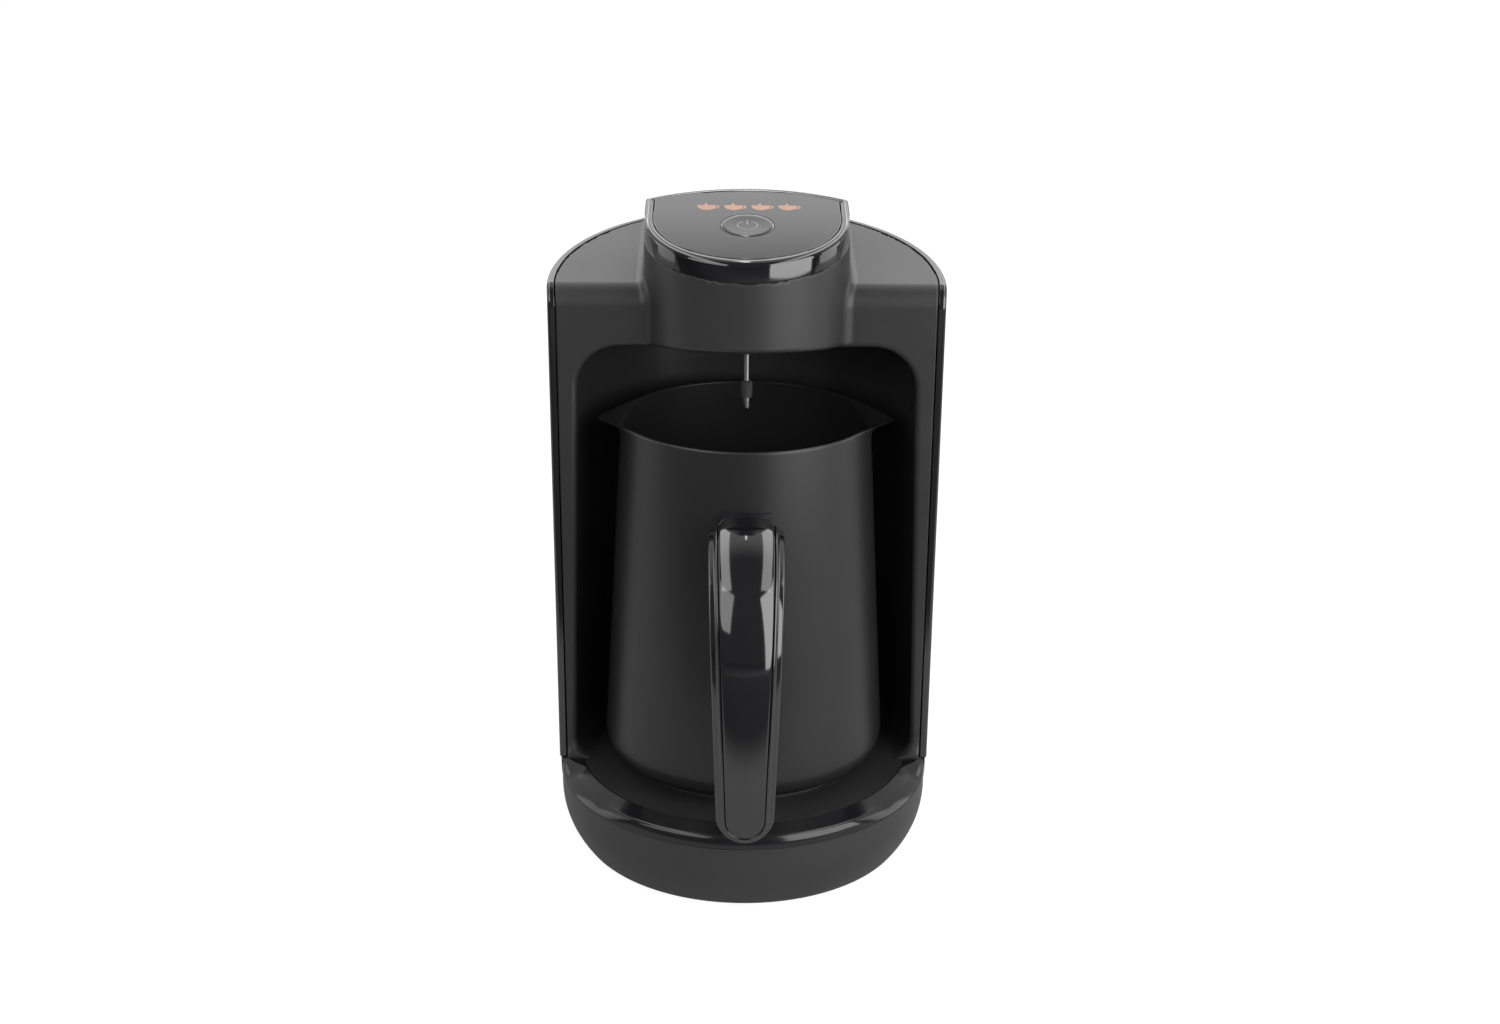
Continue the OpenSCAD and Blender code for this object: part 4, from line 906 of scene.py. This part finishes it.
# Band of the head
# A polished black ring round the deck, rolled over to a narrow rim. Below its shoulders it is
# chamfered on both sides, which leaves a dark wedge over the barrel.
band_flat_w = 2.8
band_roll = 1.5


def deck_outline(inset, steps=96, side_steps=6, back_steps=32):
    """Points of the deck's outline, seen from above, moved inwards by an inset."""
    side = head_r - inset
    back_r = deck_back_r - inset
    back_c = deck_back_y - deck_back_r
    side_end_y = back_c + math.sqrt(back_r ** 2 - side ** 2)
    outline = []
    for i in range(steps + 1):
        a = math.pi + math.pi * i / steps
        outline.append((side * math.cos(a), head_y + side * math.sin(a)))
    up_side = [(side, head_y + (side_end_y - head_y) * i / side_steps) for i in range(1, side_steps)]
    outline += up_side
    a0 = math.acos(side / back_r)
    for i in range(back_steps + 1):
        a = a0 + (math.pi - 2 * a0) * i / back_steps
        outline.append((back_r * math.cos(a), back_c + back_r * math.sin(a)))
    outline += [(-x, y) for x, y in up_side[::-1]]
    return outline


def deck_ring(inset, depth):
    """The deck's outline at an inset and a depth below the deck's face."""
    return [(x, y, deck_z(y) - depth) for x, y in deck_outline(inset)]


rolled_edge = [(band_roll * (1 - math.cos(a)), band_roll * (1 - math.sin(a)))
               for a in np.linspace(0, math.pi / 2, 9)]
band_rows = (
    [(0.25, band_h), (0.0, band_h - 0.25)] + rolled_edge
    + [(band_flat_w - 0.35, 0.0), (band_flat_w - 0.1, 0.1), (band_flat_w, 0.35), (band_flat_w, 2.2),
       (band_flat_w + 1.4, 2.2), (band_flat_w + 1.4, band_h)])
band = solid("head_band_ring", *joined([deck_ring(*row) for row in band_rows], loop=True), crease=30)

wedge_corners = np.array(((32.8, -3.35, 219.9), (29.5, -14.1, 210.9), (32.3, 10.0, 216.5)))
block_half, block_t = 40, 20
for side in (-1, 1):
    a, b, c = wedge_corners * (side, 1, 1)
    outward = np.cross(b - a, c - a)
    outward *= side * np.sign(outward[0]) / np.linalg.norm(outward)
    along = (b - a) / np.linalg.norm(b - a)
    across = np.cross(outward, along)
    square = [a + block_half * (i * along + j * across) for i, j in ((-1, -1), (1, -1), (1, 1), (-1, 1))]
    carve(band, solid("chamfer", *joined([square, [p + block_t * outward for p in square]])))
smooth(band, 30)
fit(band, gloss_black, "gloss_black", "machine", "head_band")

# Deck panel
# A polished black plate set in the band, with a round hole for the power button.
deck_black = finish(
    "deck_black", (0.008, 0.008, 0.008), (0.011, 0.011, 0.011), 0.12, spread=0.05, depth=0.001, grain=300.0,
    ior=1.6)
deck_gap = 0.3
deck_t = 2.2
button_y = 4.0
button_r = 8.7
button_gap = 0.13
deck_rows = [(deck_t, 0.0), (0.3, 0.0), (0.08, 0.08), (0.0, 0.3)]
rings = [deck_ring(band_flat_w + deck_gap + inset, depth) for depth, inset in deck_rows]
panel = solid("deck_plate", *joined(rings), crease=12)


def on_deck(x, y, height):
    """A point at a height square to the deck's face, x and y measured along it from its button."""
    c, s = math.cos(deck_slope), math.sin(deck_slope)
    return (x, -button_y + y * c - height * s, deck_z(-button_y) + y * s + height * c)


def deck_disc(outline, steps=64):
    """Rings of an outline of (radius, height) turned about the button's axis."""
    return [[on_deck(r * math.cos(a), r * math.sin(a), z) for r, z in outline]
            for a in np.linspace(0, 2 * math.pi, steps, endpoint=False)]


hole_r = button_r + button_gap
hole = [(0, 3), (hole_r + 0.12, 3), (hole_r + 0.12, 0), (hole_r, -0.12), (hole_r, -4), (0, -4)]
carve(panel, solid("hole", *joined(deck_disc(hole), loop=True)))
smooth(panel, 12)
fit(panel, deck_black, "deck_black", "machine", "deck_panel")

# Power button
# A round polished key, flush with the deck, with a shallow dish for the fingertip. A grey power
# sign is printed on it, and its stem reaches the switch on the board below.
sign_grey = finish("sign_grey", (0.13, 0.13, 0.13), (0.17, 0.17, 0.17), 0.3, spread=0.04)
key_outline = [
    (0, -0.05), (2, -0.05), (4, -0.04), (6, -0.02), (7.4, 0), (button_r - 0.2, 0), (button_r - 0.05, -0.06),
    (button_r, -0.2), (button_r, -2.35), (button_r + 0.7, -2.35), (button_r + 0.7, -3.1), (2.2, -3.1),
    (2.2, -4.4), (0, -4.4)]
key = solid("power_key", *joined(deck_disc(key_outline), loop=True), crease=30)
fit(key, deck_black, "deck_black", "button", "power_button")
dress("power_sign", sign_grey)
dress("switch_stem", ceramic)

# Cup signs
# Four little cups, printed in copper on the deck's face behind the button. One cup is drawn and set
# four times.
copper_sign = finish("copper_sign", (0.36, 0.19, 0.125), (0.44, 0.25, 0.17), 0.4, spread=0.06, depth=0.002)
icon_pitch = 8.9
icon_y = 10.0
icon_t = 0.2
icon_proud = 0.04


def cup_outline():
    """Outline of a wide cup with a rounded bowl and a wisp of steam, seen from the front."""
    brim = 1.4
    bowl = []
    for a in np.linspace(math.pi, 2 * math.pi, 25):
        bowl.append((3.1 * math.cos(a), brim - 3.9 * abs(math.sin(a)) ** 0.8))
    return bowl + [(0.3, brim), (0.1, brim + 1.4), (-0.6, brim + 1.4), (-0.8, brim)]


def plate(outline, low, high):
    """Points and faces of an outline's plate between two heights over the deck."""
    return joined([[(x, y, z) for x, y in outline] for z in (low, high)])


cup = solid("cup", *plate(cup_outline(), icon_proud - icon_t, icon_proud))
ear = rounded([(2.4, 1.1, 0.2), (4.2, 1.1, 0.7), (4.2, -1.0, 0.9), (1.6, -1.6, 0.1)], 6)
ear_hole = rounded([(3.15, 0.5, 0.1), (3.6, 0.5, 0.2), (3.6, -0.4, 0.3), (2.8, -0.7, 0.1)], 4)
ear_ring = solid("ear", *plate(ear, icon_proud - icon_t, icon_proud))
carve(ear_ring, solid("ear_hole", *plate(ear_hole, -1, 1)))
carve(cup, ear_ring, "UNION")
cup.data.transform(Matrix.Translation((0, -axis_y, 0)))
sign_places = [(i * icon_pitch, icon_y, deck_z(icon_y)) for i in (-1.5, -0.5, 0.5, 1.5)]
signs = set_in_place("cup_sign_row", cup, sign_places, copper_sign, (deck_slope, 0, 0))
fit(signs, copper_sign, "copper_sign", "machine", "cup_signs")

# Parts behind the deck
# A black carrier holds the control board below the deck. The board has four indicator lamps with a
# clear guide over each, a buzzer and the button's switch.
clear_guide = finish("clear_guide", (0.6, 0.6, 0.63), (0.7, 0.7, 0.74), 0.2)
dress("deck_carrier", matte_black)
dress("control_board", board)
dress("light_guides", clear_guide)
dress("indicator_leds", ceramic)
dress("buzzer", black_rubber)
dress("button_switch", board_parts)

# Boil probe
# A steel needle that hangs from a rubber bush in the head, with a black collar and a bare tip that
# the rising foam touches.
dress("probe_holder", black_rubber)
dress("probe_rod", dull_steel)
dress("probe_collar", black_rubber)
dress("probe_tip", bright_steel)

# Pot
# A pot drawn from one sheet, coated black inside and out, tapered towards its rim. Two pouring
# spouts are pressed out from the wall, left and right.
pot_black = finish("pot_black", (0.009, 0.009, 0.01), (0.013, 0.013, 0.014), 0.36, spread=0.08, grain=1200.0)
pot_low, pot_high = measure("pot_body")
pot_z, rim_z = pot_low.z, pot_high.z
pot_bottom_r, pot_rim_r = 49.2, 42.0
pot_wall = 1.2
pot_corner_r = 9.0
spout_reach = pot_high.x - pot_rim_r
spout_h = 13.0
spout_drop = 1.6
spout_angle = math.radians(34)
spout_round = math.radians(2)
spout_curl = 8.0


def pot_r(z):
    """Outer radius of the pot's wall at a height."""
    return pot_bottom_r + (pot_rim_r - pot_bottom_r) * (z - pot_z) / (rim_z - pot_z)


def pot_side(inset, rows):
    """Outline of the pot's wall from the middle of its bottom up to the rim."""
    r = pot_corner_r - inset
    corner_z = pot_z + pot_corner_r
    centre_r = pot_r(corner_z) - pot_corner_r
    line = [(0, pot_z + inset), (centre_r * 0.5, pot_z + inset)]
    line += [(centre_r + r * math.sin(a), corner_z - r * math.cos(a))
             for a in np.linspace(0, math.pi / 2, 10)]
    line += [(pot_r(z) - inset, z) for z in np.linspace(corner_z + 4, rim_z - spout_h, rows)]
    line += [(pot_r(z) - inset, z) for z in np.linspace(rim_z - spout_h + 1, rim_z - 0.7, 26)]
    return line


lip_middle = pot_r(rim_z) - pot_wall / 2
lip = [(lip_middle + pot_wall / 2 * math.cos(a), rim_z - 0.6 + 0.6 * math.sin(a))
       for a in np.linspace(0.2, math.pi - 0.2, 7)]
pot_outline = pot_side(0, 20) + lip + pot_side(pot_wall, 20)[::-1]
pot = solid("pot_vessel", *turned(pot_outline, 240))


def spout_tree():
    """Geometry nodes: presses two spouts out of a turned wall, left and right."""
    tree, given = new_tree("press_spouts", (
        ("Geometry", ["Wall"]),
        ("Float", ["Axis Y", "Rim height", "Spout height", "Reach", "Drop", "Angle", "Round"]),
        ("Material", ["Finish"])), "Pot")
    link = tree.links.new

    def work(operation, a, b=None):
        step = node(tree, "ShaderNodeMath", operation=operation)
        for socket, value in zip(step.inputs, (a, b)):
            if isinstance(value, (int, float)):
                socket.default_value = value
            elif value is not None:
                link(value, socket)
        return step.outputs[0]

    place = node(tree, "GeometryNodeInputPosition")
    parts = node(tree, "ShaderNodeSeparateXYZ")
    link(place.outputs[0], parts.inputs[0])
    x = parts.outputs["X"]
    y = work("SUBTRACT", parts.outputs["Y"], given["Axis Y"])
    z = parts.outputs["Z"]
    off = work("ARCTAN2", work("ABSOLUTE", y), work("ABSOLUTE", x))
    rounding = work("ADD", work("POWER", off, 2.0), work("POWER", given["Round"], 2.0))
    soft = work("SUBTRACT", work("SQRT", rounding), given["Round"])
    near = work("MAXIMUM", work("SUBTRACT", 1.0, work("DIVIDE", soft, given["Angle"])), 0.0)
    out = work("POWER", near, 2.0)
    foot = work("SUBTRACT", given["Rim height"], given["Spout height"])
    share = work("MAXIMUM", work("DIVIDE", work("SUBTRACT", z, foot), given["Spout height"]), 0.0)
    push = work("MULTIPLY", work("MULTIPLY", given["Reach"], out), work("POWER", share, spout_curl))
    drop = work("MULTIPLY", work("MULTIPLY", given["Drop"], out), share)
    radius = work("MAXIMUM", work("SQRT", work("ADD", work("POWER", x, 2.0), work("POWER", y, 2.0))), 1e-6)
    shift = node(tree, "ShaderNodeCombineXYZ")
    link(work("MULTIPLY", push, work("DIVIDE", x, radius)), shift.inputs["X"])
    link(work("MULTIPLY", push, work("DIVIDE", y, radius)), shift.inputs["Y"])
    link(work("MULTIPLY", drop, -1.0), shift.inputs["Z"])
    press = node(tree, "GeometryNodeSetPosition", (1000, 0))
    link(given["Wall"], press.inputs["Geometry"])
    link(shift.outputs[0], press.inputs["Offset"])
    return end_tree(tree, given, press.outputs[0])


run_tree(pot, spout_tree(), {
    "Axis Y": axis_y, "Rim height": rim_z * mm, "Spout height": spout_h * mm, "Reach": spout_reach * mm,
    "Drop": spout_drop * mm, "Angle": spout_angle, "Round": spout_round, "Finish": pot_black})
smooth(pot, 50)
fit(pot, pot_black, "pot_black", "pot", "pot_body")

# Handle bracket and screw
# A steel saddle welded to the pot, coated with it, and the screw that draws the handle to its
# threaded stud. They keep their own exact forms.
dress("handle_bracket", pot_black)
dress("handle_screw", bright_steel)

# Handle
# A bowed black frame with a side flange and a raised lip, and a polished crowned insert that covers
# the screw. Both narrow towards the rounded free end and have their upper corners cut off.
frame_low, frame_high = measure("handle_frame")
handle_reach = -frame_low.y
handle_top_z = frame_high.z
handle_half_w = frame_high.x
handle_end_r = 9.4
handle_end_z = 35.0
handle_t = 12.0
handle_root_y = -45.5
handle_bend_z = handle_top_z - 50
bow_top_pull, bow_pull, bow_end_pull = 20, 18, 14
bow_droop, bow_return = 0.5, 4.5
handle_chamfer = (3.6, 6.2)
crown_r = 27.0


def bezier(points, t):
    """A point of the cubic curve over four control points, at a share of its way."""
    a, b, c, d = (np.array(p, float) for p in points)
    return (1 - t) ** 3 * a + 3 * t * (1 - t) ** 2 * b + 3 * t * t * (1 - t) * c + t ** 3 * d


upper_bow = [(handle_root_y, handle_top_z), (-handle_reach + bow_top_pull, handle_top_z - bow_droop),
             (-handle_reach, handle_top_z - bow_pull), (-handle_reach, handle_bend_z)]
lower_bow = [(-handle_reach, handle_bend_z), (-handle_reach, handle_bend_z - bow_pull),
             (-handle_reach + bow_return / 3, handle_end_z + bow_end_pull),
             (-handle_reach + bow_return, handle_end_z - 1)]
bow = np.array([bezier(upper_bow, t) for t in np.linspace(0, 1, 80, endpoint=False)]
               + [bezier(lower_bow, t) for t in np.linspace(0, 1, 80)])
bow_step = np.diff(bow, axis=0)
bow_way = np.concatenate([[0], np.cumsum(np.linalg.norm(bow_step, axis=1))])
bow_along = np.gradient(bow, bow_way, axis=0)
bow_end = np.interp(-handle_end_z, -bow[:, 1], bow_way)
end_centre = bow_end - handle_end_r


def on_bow(x, way, depth):
    """A point at a distance along the bow, x across it and a depth in from its front."""
    y, z = (np.interp(way, bow_way, bow[:, i]) for i in (0, 1))
    along_y, along_z = (np.interp(way, bow_way, bow_along[:, i]) for i in (0, 1))
    return (x, y - depth * along_z, z + depth * along_y)


def bow_half_width(way):
    """Half the handle's width at a distance along its bow, above its rounded end."""
    height = np.interp(way, bow_way, bow[:, 1])
    low = handle_end_z + handle_end_r
    return handle_end_r + (handle_half_w - handle_end_r) * (height - low) / (handle_top_z - low)


def handle_outline(inset):
    """Outline of the handle rolled out flat, as (x, way), moved inwards by an inset."""
    cut_x, cut_way = handle_chamfer
    half = bow_half_width(0)
    side = [(half - cut_x - 0.5 * inset, inset),
            (half - cut_x / 2 - 0.75 * inset, cut_way / 2 + inset * 2 / 3),
            (half - inset, cut_way + inset / 3)]
    side += [(bow_half_width(way) - inset, way) for way in np.linspace(cut_way + 2.5, end_centre, 48)]
    end = [((handle_end_r - inset) * math.cos(a), end_centre + (handle_end_r - inset) * math.sin(a))
           for a in np.linspace(0, math.pi, 33)[1:-1]]
    top = [((half - cut_x - 0.5 * inset) * x, inset) for x in np.linspace(-1, 1, 9)[1:-1]]
    return side + end + [(-x, way) for x, way in side[::-1]] + top


def handle_ring(inset, depth, crowned=1.0, share=1.0):
    """A ring of the handle's skin, drawn together towards the middle line by a share."""
    ring = []
    for x, way in handle_outline(inset):
        middle = min(max(way, handle_end_r), end_centre)
        x, way = x * share, middle + (way - middle) * share
        sag = crown_r - math.sqrt(crown_r ** 2 - x ** 2)
        ring.append(on_bow(x, way, depth + crowned * sag))
    return ring


shares = [0, 0.12, 0.25, 0.38, 0.5, 0.62, 0.74, 0.85, 0.94]
frame_rows = [
    (3.0, 2.6), (3.0, 0.35), (2.88, 0.12), (2.65, 0.02), (2.35, 0.06), (2.15, 0.3), (2.1, 0.7), (1.9, 1.15),
    (1.5, 1.3), (0.5, 1.38), (0.15, 1.55), (0, 1.9)]
rings = [handle_ring(3.0, 2.6, 1, share) for share in shares[::3]]
rings += [handle_ring(inset, depth) for inset, depth in frame_rows]
back_rows = [(0, 8.6, 0.2), (0.15, 10.0, 0), (0.7, 11.2, 0), (1.5, 11.8, 0), (2.4, handle_t, 0)]
rings += [handle_ring(inset, depth, crowned) for inset, depth, crowned in back_rows]
rings += [handle_ring(2.4, handle_t, 0, share) for share in shares[::-3]]
handle_frame = solid("handle_bow", *joined(rings), crease=50)
fit(handle_frame, gloss_black, "gloss_black", "pot", "handle_frame")

insert_rows = [(3.15, 2.4), (3.15, 0.4), (3.22, 0.2), (3.4, 0.06), (3.65, 0.0)]
rings = [handle_ring(3.15, 2.4, 1, share) for share in shares[::3]]
rings += [handle_ring(inset, depth) for inset, depth in insert_rows]
rings += [handle_ring(3.65, 0.0, 1, share) for share in shares[::-1]]
insert = solid("handle_insert", *joined(rings), crease=50)
fit(insert, gloss_black, "gloss_black", "pot", "handle_cover")
